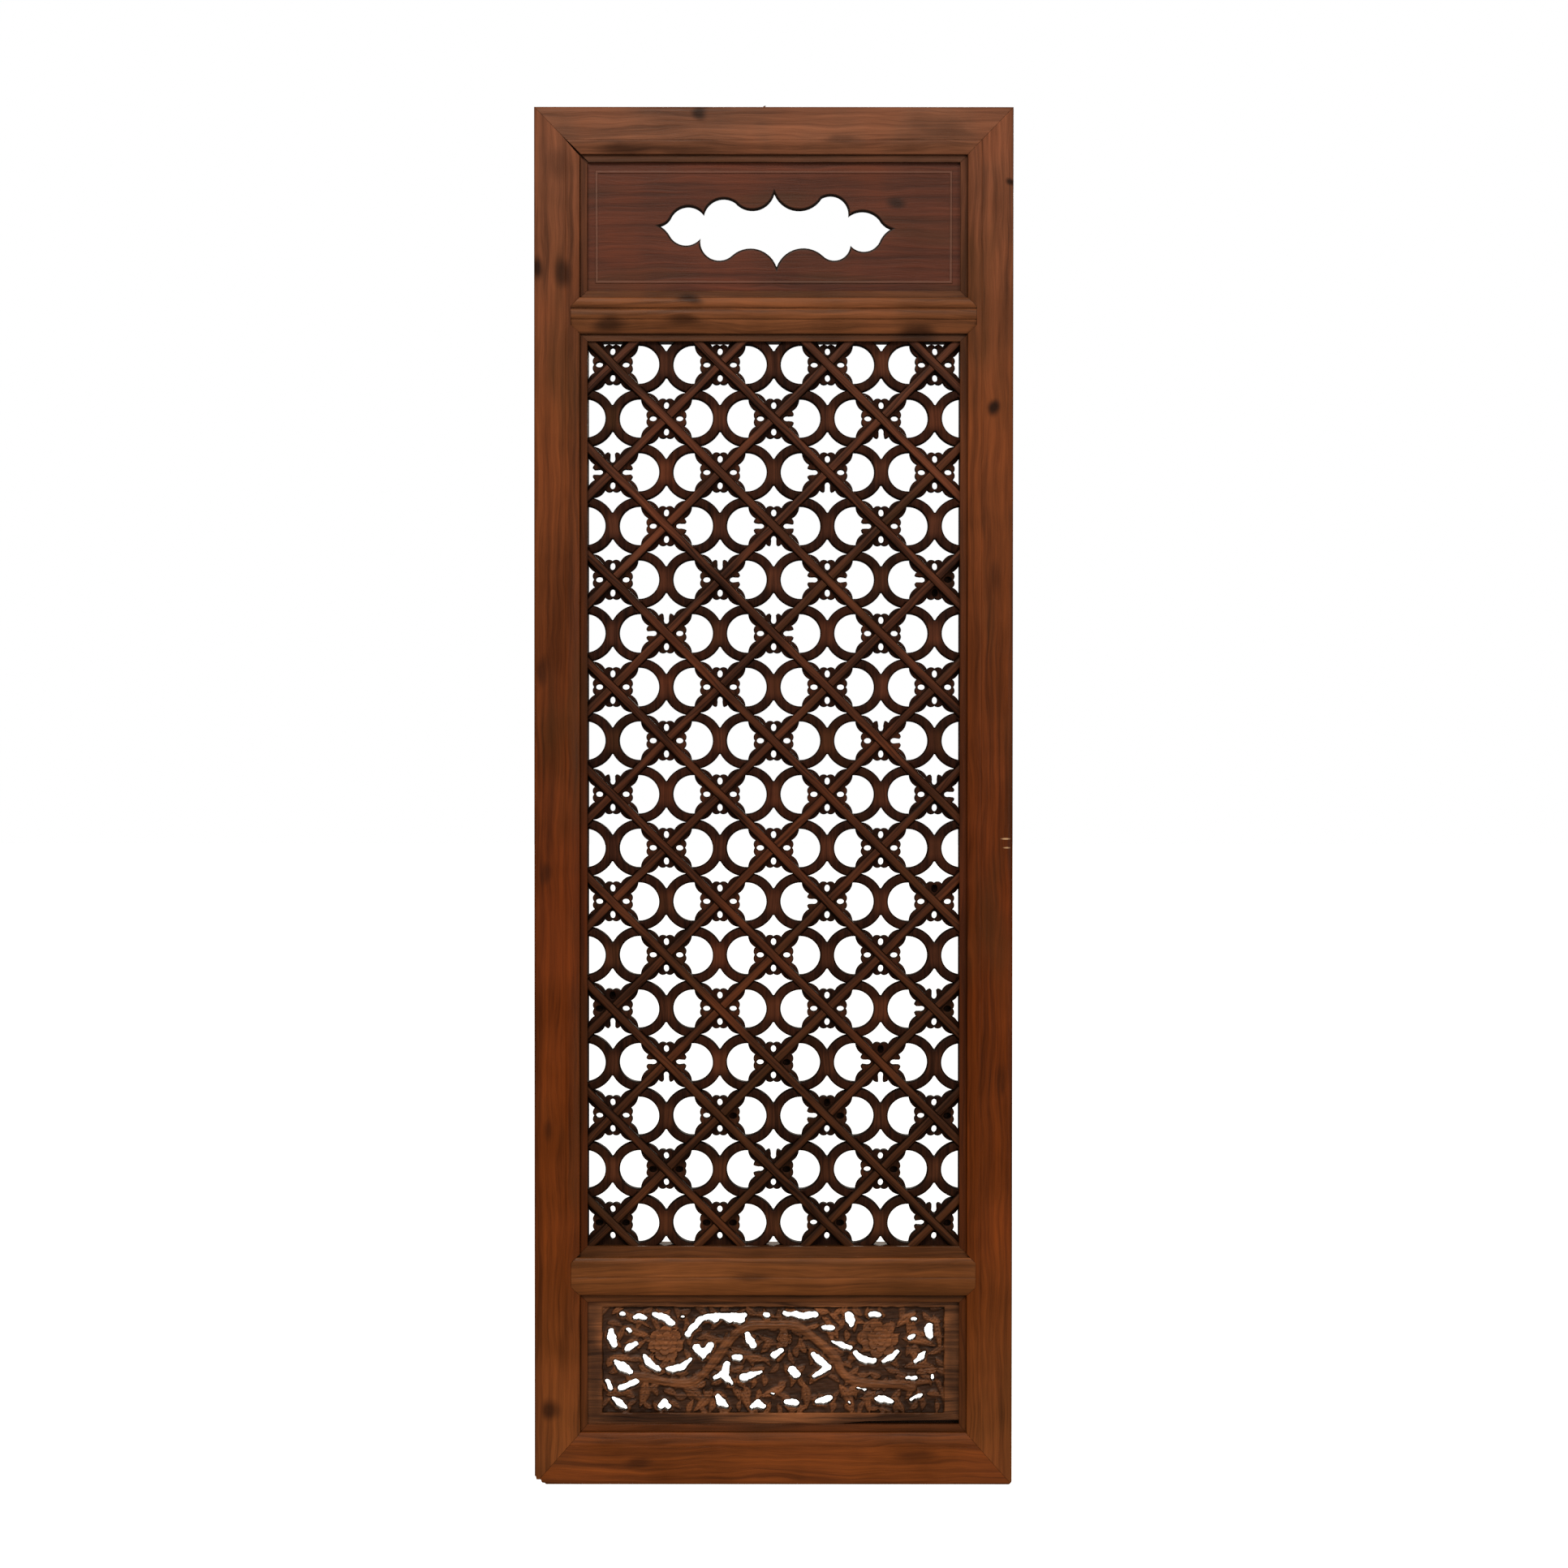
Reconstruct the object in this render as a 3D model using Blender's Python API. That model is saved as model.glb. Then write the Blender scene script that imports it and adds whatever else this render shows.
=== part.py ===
"""Pierced wooden panel: a framed lattice leaf with a shaped opening above and a carved board below.

Metres. X is to the right, Z is up, the front faces -Y and the back lies in the plane Y = 0.
The origin is on the back of the top rail, at its middle, where the panel is hung or screwed.
"""
from math import acos, asin, atan2, cos, hypot, pi, radians, sin, sqrt

import bmesh
import bpy
from mathutils import Matrix, Vector

# Overall sizes of the leaf
panel_width = 0.434
panel_thickness = 0.040
stile_width = 0.048

# Widths of the rails and clear heights of the three bays, from the top down
top_rail_width = 0.0495
upper_bay_height = 0.1162
upper_rail_width = 0.0457
lattice_bay_height = 0.822
lower_rail_width = 0.0511
lower_bay_height = 0.1113
bottom_rail_width = 0.0542

# Moulding of the frame members
strip_width = 0.0065
strip_recess = 0.007
slope_width = 0.014
slope_drop = 0.0032
slope_shoulder_width = 0.0056
slope_shoulder_drop = 0.0011
arris_width = 0.0035
arris_chamfer = 0.001
bead_rise = 0.0022
bead_crown = (0.3, 0.7)
bead_slope_width = 0.0126

# Joints between rails and stiles
gap = 0.0003
head_depth = 0.0095
head_reach = 0.0146
tenon_length = 0.030
tenon_thickness = 0.012
tenon_shoulder = 0.013

# Grooves that hold the boards and the lattice
lip_thickness = 0.004
seat_depth = 0.005
seat_play = 0.0013

# Upper board and its shaped opening
board_thickness = 0.010
border_margin = 0.007
border_width = 0.0026
border_rise = 0.0014
opening_length = 0.2095
opening_height = 0.066
opening_drop = 0.0006
opening_shift = 0.0015

# Lower board, its bottom edge shrunk out of the groove towards the right
carving_margin_side = 0.013
carving_margin_top = 0.0045
carving_margin_bottom = 0.0095
carving_rise = 0.0035
vine_drop = 0.0005
leaf_drop = 0.0011
petal_dip = 0.68
leaf_shoulders = ((0.3, 0.5), (0.7, 0.35))
shrinkage_gap = 0.0037
shrinkage_start = 0.0563
shrinkage_depth = 0.006

# Lattice: crossings counted from the middle of the bay, and clear margins outside the last of them
lattice_columns = 3
lattice_rows = 8
lattice_margin_side = 0.02245
lattice_margin_end = 0.0202
bar_width = 0.008
bar_depth = 0.018
cover_depth = 0.006
rosette_half = 0.0170
rosette_back_inset = 0.0008
scroll_width = 0.0078
scroll_waist = 0.0124
scroll_hook = radians(44)
scroll_crotch = 0.0105
scroll_inset = 0.0024
scroll_steps = 4
scroll_root = 0.0015

# Wear
chip_width = 0.009
chip_height = 0.006
worn_corner = 0.003
sharp_edge = radians(35)

X_AXIS = Vector((1, 0, 0))
Y_AXIS = Vector((0, 1, 0))
Z_AXIS = Vector((0, 0, 1))
OVERSHOOT = 0.004

half_width = panel_width / 2
bay_half = half_width - stile_width
front = -panel_thickness
head_back = front + head_depth
seat_front = front + strip_recess + lip_thickness
panel_top = top_rail_width / 2

# Heights of the bays' edges
upper_bay_top = panel_top - top_rail_width
upper_bay_bottom = upper_bay_top - upper_bay_height
lattice_top = upper_bay_bottom - upper_rail_width
lattice_bottom = lattice_top - lattice_bay_height
lower_bay_top = lattice_bottom - lower_rail_width
lower_bay_bottom = lower_bay_top - lower_bay_height
panel_bottom = lower_bay_bottom - bottom_rail_width
lattice_middle = (lattice_top + lattice_bottom) / 2

# Spacing of the crossings, which follows the bay, and the way a bar runs from one to the next
column_pitch = (bay_half - lattice_margin_side) / lattice_columns
row_pitch = (lattice_bay_height / 2 - lattice_margin_end) / lattice_rows
bar_run = hypot(column_pitch, row_pitch)
RISING = Vector((column_pitch, 0, row_pitch)) / bar_run
FALLING = Vector((column_pitch, 0, -row_pitch)) / bar_run

# Distance and direction from the middle of a cell to the bar above it on the right
cell_reach = column_pitch * row_pitch / bar_run
cell_facing = atan2(column_pitch, row_pitch)

# Radii of a scroll's arcs, whose ends hook over against the bars, and the distance of their centres
scroll_inner = (
    (cell_reach * (1 - scroll_waist / 2 / column_pitch) - bar_width / 2)
    / (cos(scroll_hook) + cell_reach / column_pitch)
)
scroll_outer = scroll_inner + scroll_width
scroll_offset = scroll_inner + scroll_waist / 2


def clear_scene():
    for thing in list(bpy.data.objects):
        bpy.data.objects.remove(thing, do_unlink=True)


def material(name, colour, roughness):
    made = bpy.data.materials.new(name)
    made.use_nodes = True
    shader = made.node_tree.nodes["Principled BSDF"]
    shader.inputs["Base Color"].default_value = (*colour, 1)
    shader.inputs["Roughness"].default_value = roughness
    shader.inputs["Metallic"].default_value = 0
    made.diffuse_color = (*colour, 1)
    return made


def extruded(name, outlines, length, centre, across, upward):
    """A solid whose flat outlines lie along across and upward, length deep and centred on centre."""
    curve = bpy.data.curves.new(name, "CURVE")
    curve.dimensions = "2D"
    curve.fill_mode = "BOTH"
    curve.extrude = length / 2
    for outline in outlines:
        spline = curve.splines.new("POLY")
        spline.points.add(len(outline) - 1)
        for point, (a, b) in zip(spline.points, outline):
            point.co = (a, b, 0, 1)
        spline.use_cyclic_u = True
    flat = bpy.data.objects.new(name + "_outline", curve)
    bpy.context.scene.collection.objects.link(flat)
    graph = bpy.context.evaluated_depsgraph_get()
    mesh = bpy.data.meshes.new_from_object(flat.evaluated_get(graph))
    mesh.name = name
    bpy.data.objects.remove(flat, do_unlink=True)
    bpy.data.curves.remove(curve)

    outward = across.cross(upward)
    turn = Matrix((across, upward, outward)).transposed().to_4x4()
    shape = bmesh.new()
    shape.from_mesh(mesh)
    bmesh.ops.remove_doubles(shape, verts=shape.verts, dist=1e-6)
    bmesh.ops.transform(shape, matrix=Matrix.Translation(centre) @ turn, verts=shape.verts)
    bmesh.ops.recalc_face_normals(shape, faces=shape.faces)
    shape.to_mesh(mesh)
    shape.free()
    solid = bpy.data.objects.new(name, mesh)
    bpy.context.scene.collection.objects.link(solid)
    return solid


def plate(name, outlines, y_front, y_back):
    """Outlines in X and Z, cut from stock that runs from y_front to y_back."""
    middle = Vector((0, (y_front + y_back) / 2, 0))
    return extruded(name, outlines, y_back - y_front, middle, X_AXIS, Z_AXIS)


def block(name, x_low, x_high, z_low, z_high, y_front, y_back):
    return plate(name, [rectangle(x_low, x_high, z_low, z_high)], y_front, y_back)


def rectangle(a_low, a_high, b_low, b_high):
    return [(a_low, b_low), (a_high, b_low), (a_high, b_high), (a_low, b_high)]


def combine(piece, tool, operation):
    """Join, cut or limit piece by tool, which is used up."""
    step = piece.modifiers.new(operation.title(), "BOOLEAN")
    step.operation = operation
    step.solver = "EXACT"
    step.object = tool
    graph = bpy.context.evaluated_depsgraph_get()
    mesh = bpy.data.meshes.new_from_object(piece.evaluated_get(graph))
    piece.modifiers.clear()
    old = piece.data
    piece.data = mesh
    bpy.data.meshes.remove(old)
    mesh.name = piece.name
    bpy.data.objects.remove(tool, do_unlink=True)


# Frame members

def outer_moulding(width):
    """Front of a stile, top rail or bottom rail: (distance from the outer edge, depth from the front)."""
    edge = width - strip_width
    return [
        (0, arris_width),
        (arris_chamfer, arris_chamfer),
        (arris_width, 0),
        (edge - slope_width, 0),
        (edge - slope_shoulder_width, slope_shoulder_drop),
        (edge, slope_drop),
        (edge, strip_recess),
        (width, strip_recess),
    ]


def beaded_moulding(width):
    """Front of the upper rail: a strip, two beads, a slope and a strip, from its top edge down."""
    bead_width = (width - 2 * strip_width - bead_slope_width) / 2
    points = [(0, strip_recess), (strip_width, strip_recess)]
    for bead in range(2):
        start = strip_width + bead * bead_width
        points += [
            (start, bead_rise),
            (start + bead_width * bead_crown[0], 0),
            (start + bead_width * bead_crown[1], 0),
        ]
    slope_start = strip_width + 2 * bead_width
    points += [
        (slope_start, bead_rise),
        (width - strip_width, bead_rise + slope_drop),
        (width - strip_width, strip_recess + slope_drop / 2),
        (width, strip_recess + slope_drop / 2),
    ]
    return points


def crested_moulding(width):
    """Front of the lower rail: a strip, a rounded crest falling away below, and a strip."""
    start = strip_width + slope_drop
    return [
        (0, strip_recess),
        (start, strip_recess),
        (start, bead_rise),
        (start + arris_width, 0),
        (width - strip_width - slope_width, 0),
        (width - strip_width - slope_shoulder_width, slope_shoulder_drop),
        (width - strip_width, slope_drop),
        (width - strip_width, strip_recess),
        (width, strip_recess),
    ]


def rail(name, z_edge, direction, moulding):
    """A rail of full panel width. Its moulding runs from z_edge, up or down by direction."""
    section = [(z_edge + direction * u, front + depth) for u, depth in moulding]
    section += [(section[-1][0], 0), (section[0][0], 0)]
    return extruded(name, [section], panel_width, Vector((0, 0, 0)), Z_AXIS, Y_AXIS)


def stile(name, side, moulding):
    section = [(side * (half_width - u), front + depth) for u, depth in moulding]
    section += [(section[-1][0], 0), (section[0][0], 0)]
    height = panel_top - panel_bottom
    middle = Vector((0, 0, (panel_top + panel_bottom) / 2))
    return extruded(name, [section], height, middle, X_AXIS, Y_AXIS)


def corner_head(z_inner, z_outer, grow=0):
    """Front outline of an outer rail, mitred from the bay's corners to the panel's corners."""
    slope = (z_outer - z_inner) / stile_width
    shift = grow * hypot(1, 1 / slope)
    outline = []
    for side in (-1, 1):
        low = (side * (bay_half - OVERSHOOT + shift), z_inner - slope * OVERSHOOT)
        high = (side * (half_width + OVERSHOOT + shift), z_outer + slope * OVERSHOOT)
        outline += [low, high] if side < 0 else [high, low]
    return outline


def middle_head(z_high, z_low, grow=0):
    """Front outline of a middle rail, which ends in blunt points let into the stiles."""
    shift = grow * sqrt(2)
    reach = bay_half + head_reach
    outline = []
    for side in (-1, 1):
        end = [
            (side * (bay_half - OVERSHOOT + shift), z_low - OVERSHOOT),
            (side * (reach + grow), z_low + head_reach + grow - shift),
            (side * (reach + grow), z_high - head_reach - grow + shift),
            (side * (bay_half - OVERSHOOT + shift), z_high + OVERSHOOT),
        ]
        outline += end if side > 0 else end[::-1]
    return outline


def tenon(name, z_low, z_high, grow=0):
    """The tenons at both ends of a rail as one long tongue."""
    reach = bay_half + tenon_length + grow
    middle = head_back / 2
    return block(
        name, -reach, reach,
        z_low + tenon_shoulder - grow, z_high - tenon_shoulder + grow,
        middle - tenon_thickness / 2 - grow, middle + tenon_thickness / 2 + grow,
    )


def fit_rail(piece, z_low, z_high, head):
    """Mitre the rail's head, cut its shoulders back to the stiles and add its tenons."""
    combine(piece, plate("head", [head(0)], front - OVERSHOOT, OVERSHOOT), "INTERSECT")
    shoulder = bay_half - gap
    beyond = half_width + 2 * OVERSHOOT
    sides = [
        rectangle(-beyond, -shoulder, z_low - OVERSHOOT, z_high + OVERSHOOT),
        rectangle(shoulder, beyond, z_low - OVERSHOOT, z_high + OVERSHOOT),
    ]
    combine(piece, plate("shoulders", sides, head_back, OVERSHOOT), "DIFFERENCE")
    combine(piece, tenon("tenons", z_low, z_high), "UNION")


def cut_stile(piece, rails):
    """Let the heads and the tenons of the rails into a stile."""
    for z_low, z_high, head in rails:
        notch = plate("notch", [head(gap)], front - OVERSHOOT, head_back + gap)
        combine(piece, notch, "DIFFERENCE")
        combine(piece, tenon("mortise", z_low, z_high, gap), "DIFFERENCE")


def groove(name, z_low, z_high, thickness):
    """The groove round a bay, as the block that it leaves empty."""
    reach = seat_depth + seat_play
    return block(
        name, -bay_half - reach, bay_half + reach, z_low - reach, z_high + reach,
        seat_front - gap, seat_front + thickness + gap,
    )


def chip_corner(piece, side, width, height):
    """Break off a lower outer corner of the panel."""
    outer = side * (half_width + OVERSHOOT)
    extra = OVERSHOOT * height / width
    outline = [
        (outer, panel_bottom + height + extra),
        (outer, panel_bottom - OVERSHOOT),
        (side * (half_width - width), panel_bottom - OVERSHOOT),
        (side * (half_width - width), panel_bottom),
    ]
    combine(piece, plate("chip", [outline], front - OVERSHOOT, OVERSHOOT), "DIFFERENCE")


def make_frame():
    rails = {
        "rail_top": (
            upper_bay_top, panel_top,
            lambda grow: corner_head(upper_bay_top, panel_top, grow),
        ),
        "rail_upper": (
            lattice_top, upper_bay_bottom,
            lambda grow: middle_head(upper_bay_bottom, lattice_top, grow),
        ),
        "rail_lower": (
            lower_bay_top, lattice_bottom,
            lambda grow: middle_head(lattice_bottom, lower_bay_top, grow),
        ),
        "rail_bottom": (
            panel_bottom, lower_bay_bottom,
            lambda grow: corner_head(lower_bay_bottom, panel_bottom, grow),
        ),
    }
    bays = [
        (upper_bay_bottom, upper_bay_top, board_thickness),
        (lattice_bottom, lattice_top, bar_depth),
        (lower_bay_bottom, lower_bay_top, board_thickness),
    ]
    pieces = {
        "rail_top": rail("rail_top", panel_top, -1, outer_moulding(top_rail_width)),
        "rail_upper": rail("rail_upper", upper_bay_bottom, -1, beaded_moulding(upper_rail_width)),
        "rail_lower": rail("rail_lower", lattice_bottom, -1, crested_moulding(lower_rail_width)),
        "rail_bottom": rail("rail_bottom", panel_bottom, 1, outer_moulding(bottom_rail_width)),
    }
    for name, piece in pieces.items():
        fit_rail(piece, *rails[name])
    for name, side in (("stile_left", -1), ("stile_right", 1)):
        pieces[name] = stile(name, side, outer_moulding(stile_width))
        cut_stile(pieces[name], rails.values())
    for name, piece in pieces.items():
        for z_low, z_high, thickness in bays:
            touches_rail = name in rails and rails[name][0] <= z_high and z_low <= rails[name][1]
            if touches_rail or name not in rails:
                combine(piece, groove("groove", z_low, z_high, thickness), "DIFFERENCE")
    chip_corner(pieces["stile_left"], -1, chip_width, chip_height)
    chip_corner(pieces["rail_bottom"], -1, chip_width, chip_height)
    chip_corner(pieces["stile_right"], 1, worn_corner, worn_corner)
    chip_corner(pieces["rail_bottom"], 1, worn_corner, worn_corner)
    return pieces


# Boards

def arc(start, end, bulge, steps):
    """Points from start up to end, which is left out, on an arc that bulges to the left by bulge."""
    (x0, z0), (x1, z1) = start, end
    chord = hypot(x1 - x0, z1 - z0)
    along = ((x1 - x0) / chord, (z1 - z0) / chord)
    left = (-along[1], along[0])
    half_angle = 2 * acos(chord / hypot(chord, 2 * bulge)) * (1 if bulge > 0 else -1)
    radius = chord / 2 / sin(abs(half_angle))
    points = []
    for step in range(steps):
        angle = half_angle * (2 * step / steps - 1)
        s = chord / 2 + radius * sin(abs(angle)) * (1 if step * 2 > steps else -1)
        rise = radius * (cos(angle) - cos(half_angle)) * (1 if bulge > 0 else -1)
        points.append((x0 + along[0] * s + left[0] * rise, z0 + along[1] * s + left[1] * rise))
    return points


def cartouche():
    """The shaped opening: a point, a small lobe and a large lobe on each side of a raised middle."""
    length = opening_length / 2
    height = opening_height / 2
    # Corners and dips in shares of the half sizes, with the bulge of the arc that follows each
    corners = [
        (-1.00, 0.05, -0.05, 1), (-0.90, 0.31, 0.25, 3), (-0.62, 0.35, 0.25, 4), (-0.35, 0.70, -0.33, 4),
        (-0.01, 0.94, -0.40, 4), (0.40, 0.82, 0.28, 4), (0.63, 0.31, 0.18, 3), (0.90, 0.23, -0.04, 1),
        (1.00, -0.03, -0.03, 1), (0.91, -0.33, 0.24, 3), (0.65, -0.48, 0.26, 4), (0.41, -0.76, -0.35, 4),
        (0.01, -1.07, -0.33, 4), (-0.37, -0.74, 0.36, 4), (-0.65, -0.29, 0.21, 3), (-0.91, -0.25, -0.03, 1),
    ]
    centre = (upper_bay_top + upper_bay_bottom) / 2 - opening_drop
    outline = []
    for index, (x, z, bulge, steps) in enumerate(corners):
        x_next, z_next = corners[(index + 1) % len(corners)][:2]
        here = (opening_shift + x * length, centre + z * height)
        there = (opening_shift + x_next * length, centre + z_next * height)
        outline += arc(here, there, bulge * height, steps)
    return outline


def make_upper_board():
    side = bay_half + seat_depth
    high = upper_bay_top + seat_depth
    low = upper_bay_bottom - seat_depth
    board = block("board_upper", -side, side, low, high, seat_front, seat_front + board_thickness)
    outer = bay_half - border_margin
    inner = outer - border_width
    top = upper_bay_top - border_margin
    bottom = upper_bay_bottom + border_margin
    ring = [
        rectangle(-outer, outer, bottom, top),
        rectangle(-inner, inner, bottom + border_width, top - border_width),
    ]
    line = plate("border_line", ring, seat_front - border_rise, seat_front + board_thickness / 2)
    combine(board, line, "UNION")
    hole = plate("opening", [cartouche()], front, 0)
    combine(board, hole, "DIFFERENCE")
    return board


def stroke(path, width):
    """Outline of a band of even width along a path, with a point beyond each end."""
    half = width / 2
    left, right = [], []
    for index, (x, z) in enumerate(path):
        before = path[max(index - 1, 0)]
        after = path[min(index + 1, len(path) - 1)]
        run = hypot(after[0] - before[0], after[1] - before[1])
        along = ((after[0] - before[0]) / run, (after[1] - before[1]) / run)
        left.append((x - along[1] * half, z + along[0] * half))
        right.append((x + along[1] * half, z - along[0] * half))
        if index == 0:
            tail = (x - along[0] * half, z - along[1] * half)
        tip = (x + along[0] * half, z + along[1] * half)
    return [tail, *right, tip, *left[::-1]]


def lobed(centre, radius, lobes, turn=0):
    """Outline of a flower head with as many lobes as given."""
    points = []
    for step in range(2 * lobes):
        angle = turn + pi * step / lobes
        reach = radius * (petal_dip if step % 2 else 1)
        points.append((centre[0] + reach * cos(angle), centre[1] + reach * sin(angle)))
    return points


def leaf(root, tip, width):
    """Outline of a pointed leaf from its root to its tip."""
    run_x, run_z = tip[0] - root[0], tip[1] - root[1]
    run = hypot(run_x, run_z)
    sides = []
    for share, spread in leaf_shoulders:
        for side in (1, -1):
            sides.append((
                root[0] + run_x * share - side * run_z / run * width * spread,
                root[1] + run_z * share + side * run_x / run * width * spread,
            ))
    return [root, sides[1], sides[3], tip, sides[2], sides[0]]


def on_field(points):
    """Points of the carving's drawing, which stretches with its bay."""
    x_scale = (bay_half - carving_margin_side) / DRAWN_HALF_LENGTH
    z_scale = lower_bay_height / 2 / DRAWN_HALF_HEIGHT
    middle = (lower_bay_top + lower_bay_bottom) / 2
    return [(x * x_scale, middle + z * z_scale) for x, z in points]


# The carving is drawn from the middle of its bay, in millimetres on a bay of the real size:
# a vine that arches over the centre, a flower head in each half and one under the arch, and
# leaves that spring from the vine
DRAWN_HALF_LENGTH = 156
DRAWN_HALF_HEIGHT = 55.65
DRAWN_VINE_WIDTH = 7
PETALS = 6
VINE = [
    (-122, -14.5), (-96, -19), (-77, -19), (-65, -12), (-55, -0.5), (-36, 25), (-21, 33), (20, 33),
    (36, 23), (56, 5), (62, -8), (73, -17), (95, -20), (116, -20),
]
FLOWERS = [((-98, 16), 14), ((97, 21), 15), ((10, 21.3), 6.5)]
LEAVES = [
    ((-84, -20), (-62, -38), 12), ((-116, -16), (-122, -41), 11), ((82, -18.5), (60, -32), 10),
    ((28, -20), (30, -42), 10), ((-6, 2), (-32, 10), 9), ((117, 22), (150, 14), 9),
    ((-112, 24), (-138, 34), 8), ((113, -20), (143, -19), 9),
]
# Each opening sawn through the ground is a short path and its width
OPENINGS = [
    (7, [(-125, 40), (-118.5, 40)]), (11, [(-101, 40), (-96, 37)]),
    (9, [(-77, 24.5), (-66, 38.5), (-30, 39.5)]), (10.5, [(-147.5, 24.5), (-145.5, 18)]),
    (8.5, [(-132, 10.5), (-127, 16)]), (11, [(-142, -2), (-133, -9)]),
    (8, [(-116, 5.5), (-112.5, -2), (-106, -5.5)]), (8, [(-95.5, -8), (-86, -8.5), (-78, 1)]),
    (10, [(-70, 13), (-64, 5.5), (-58.5, 13)]), (8, [(-21, 22), (-18.5, 16.5)]),
    (9, [(-43, -3.5), (-50, -14.5), (-41, -18)]),
    (9, [(-25, -14.5), (-14, -10.5)]), (9.5, [(3, 6), (6, 9)]),
    (8.5, [(-139, -23), (-131, -20)]),
    (8, [(-144, -35), (-135.5, -41.5)]), (10.5, [(-101.5, -39.5), (-97.5, -39.5)]),
    (9.5, [(-48, -33), (-44.5, -38.5)]), (8.5, [(-17, -40.5), (-11, -40.5)]),
    (8.5, [(14, -38), (20.5, -38)]), (8, [(12.5, 44), (38, 43)]),
    (10, [(69.5, 41), (71, 36)]),
    (8, [(90.5, 42.5), (96, 42.5)]), (9.5, [(142, 26.5), (143.5, 30.5)]),
    (7.5, [(57, 17.5), (70, 12.5)]), (9, [(37, 8), (48.5, -4), (38.5, -12.5)]),
    (10.5, [(18, -9), (20.5, -11.5)]), (8, [(77, 8), (82, 0.5), (92, 0.5)]),
    (8, [(104, 1), (112, 7.5)]), (8.5, [(133, 1), (137.5, 6)]),
    (9.5, [(43, -36), (50, -34)]), (10, [(97, -35.5), (105, -35.5)]),
    (8, [(125.5, -36.5), (134, -30.5)]),
]


def make_lower_board():
    side = bay_half + seat_depth
    high = lower_bay_top + seat_depth
    low = lower_bay_bottom - seat_depth
    back = seat_front + board_thickness
    ground = seat_front + carving_rise
    board = block("board_lower", -side, side, low, high, seat_front, back)

    field_side = bay_half - carving_margin_side
    field = block(
        "field", -field_side, field_side,
        lower_bay_bottom + carving_margin_bottom, lower_bay_top - carving_margin_top,
        front, ground,
    )
    combine(board, field, "DIFFERENCE")
    leaves = [on_field(leaf(*shape)) for shape in LEAVES]
    flowers = [on_field(lobed(middle, radius, PETALS)) for middle, radius in FLOWERS]
    vine = [on_field(stroke(VINE, DRAWN_VINE_WIDTH))]
    for outlines, drop in ((leaves, leaf_drop), (vine, vine_drop), (flowers, 0)):
        combine(board, plate("relief", outlines, seat_front + drop, ground + gap), "UNION")
    openings = [on_field(stroke(path, width)) for width, path in OPENINGS]
    combine(board, plate("openings", openings, front, 0), "DIFFERENCE")

    # The front shoulder has drawn up from the bottom rail towards the right
    wedge = [
        (shrinkage_start, low - OVERSHOOT),
        (side + OVERSHOOT, low - OVERSHOOT),
        (side + OVERSHOOT, lower_bay_bottom + shrinkage_gap),
        (shrinkage_start, lower_bay_bottom - gap),
    ]
    combine(board, plate("wedge", [wedge], front, seat_front + shrinkage_depth), "DIFFERENCE")
    return board


# Lattice

def crossings_of(sign, number):
    """Distances along a bar at which the other bars cross it. Sign is 1 on a rising bar."""
    places = []
    for column in range(-lattice_columns, lattice_columns + 1):
        row = (column - number) * sign
        if abs(row) <= lattice_rows:
            places.append((column - number / 2) * bar_run)
    return places


def bar(name, sign, number):
    """One diagonal bar with its half laps: open at the front if it rises, at the back if it falls."""
    along = RISING if sign > 0 else FALLING
    foot_x = number * column_pitch / 2
    foot_z = number * row_pitch / 2
    side = bay_half + seat_depth
    end = lattice_bay_height / 2 + seat_depth
    low = max((-side - foot_x) / RISING.x, (foot_z - end) / RISING.z) - bar_width
    high = min((side - foot_x) / RISING.x, (foot_z + end) / RISING.z) + bar_width

    front_face, back_face = seat_front, seat_front + bar_depth
    if sign > 0:
        steepness = (1 + abs(RISING.dot(FALLING))) / RISING.cross(FALLING).length
        reach = bar_width / 2 * steepness + gap
        lap = front_face + cover_depth + rosette_back_inset
        open_face, plain_face = front_face, back_face
    else:
        reach = rosette_half * (RISING.x + RISING.z) + gap
        lap = front_face + cover_depth - gap
        open_face, plain_face = back_face, front_face
    section = [(low, open_face)]
    for place in crossings_of(sign, number):
        section += [
            (place - reach, open_face),
            (place - reach, lap),
            (place + reach, lap),
            (place + reach, open_face),
        ]
    section += [(high, open_face), (high, plain_face), (low, plain_face)]
    centre = Vector((foot_x, 0, lattice_middle - sign * foot_z))
    return extruded(name, [section], bar_width, centre, along, Y_AXIS)


def rosette(column, row):
    x = column * column_pitch
    z = lattice_middle + row * row_pitch
    return rectangle(x - rosette_half, x + rosette_half, z - rosette_half, z + rosette_half)


def scroll(column, row, host):
    """Two arcs back to back in one cell. The corner named host is let into a rising bar."""
    middle_x = column * column_pitch
    middle_z = lattice_middle + row * row_pitch
    to_bar = cell_reach * (1 - scroll_offset / column_pitch) - bar_width / 2

    def end_angle(corner, radius):
        reach = to_bar + scroll_root if corner == host else to_bar - gap
        return cell_facing + acos(reach / radius)

    def place(side, up, radius, angle):
        x = side * (scroll_offset + radius * cos(angle))
        return (middle_x + x, middle_z + up * radius * sin(angle))

    def back_of_arc(side, up):
        """The outer end of an arc and a point half way from there to the crotch."""
        tip = end_angle((side, up), scroll_outer)
        crotch = pi - asin(scroll_crotch / scroll_outer)
        return [place(side, up, scroll_outer, angle) for angle in (tip, (tip + crotch) / 2)]

    outline = []
    for side in (1, -1):
        start = end_angle((side, side), scroll_inner)
        stop = 2 * pi - end_angle((side, -side), scroll_inner)
        for step in range(scroll_steps + 1):
            angle = start + (stop - start) * step / scroll_steps
            outline.append(place(side, side, scroll_inner, angle))
        outline += back_of_arc(side, -side)
        outline.append((middle_x, middle_z - side * scroll_crotch))
        outline += back_of_arc(-side, -side)[::-1]
    return outline


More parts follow.
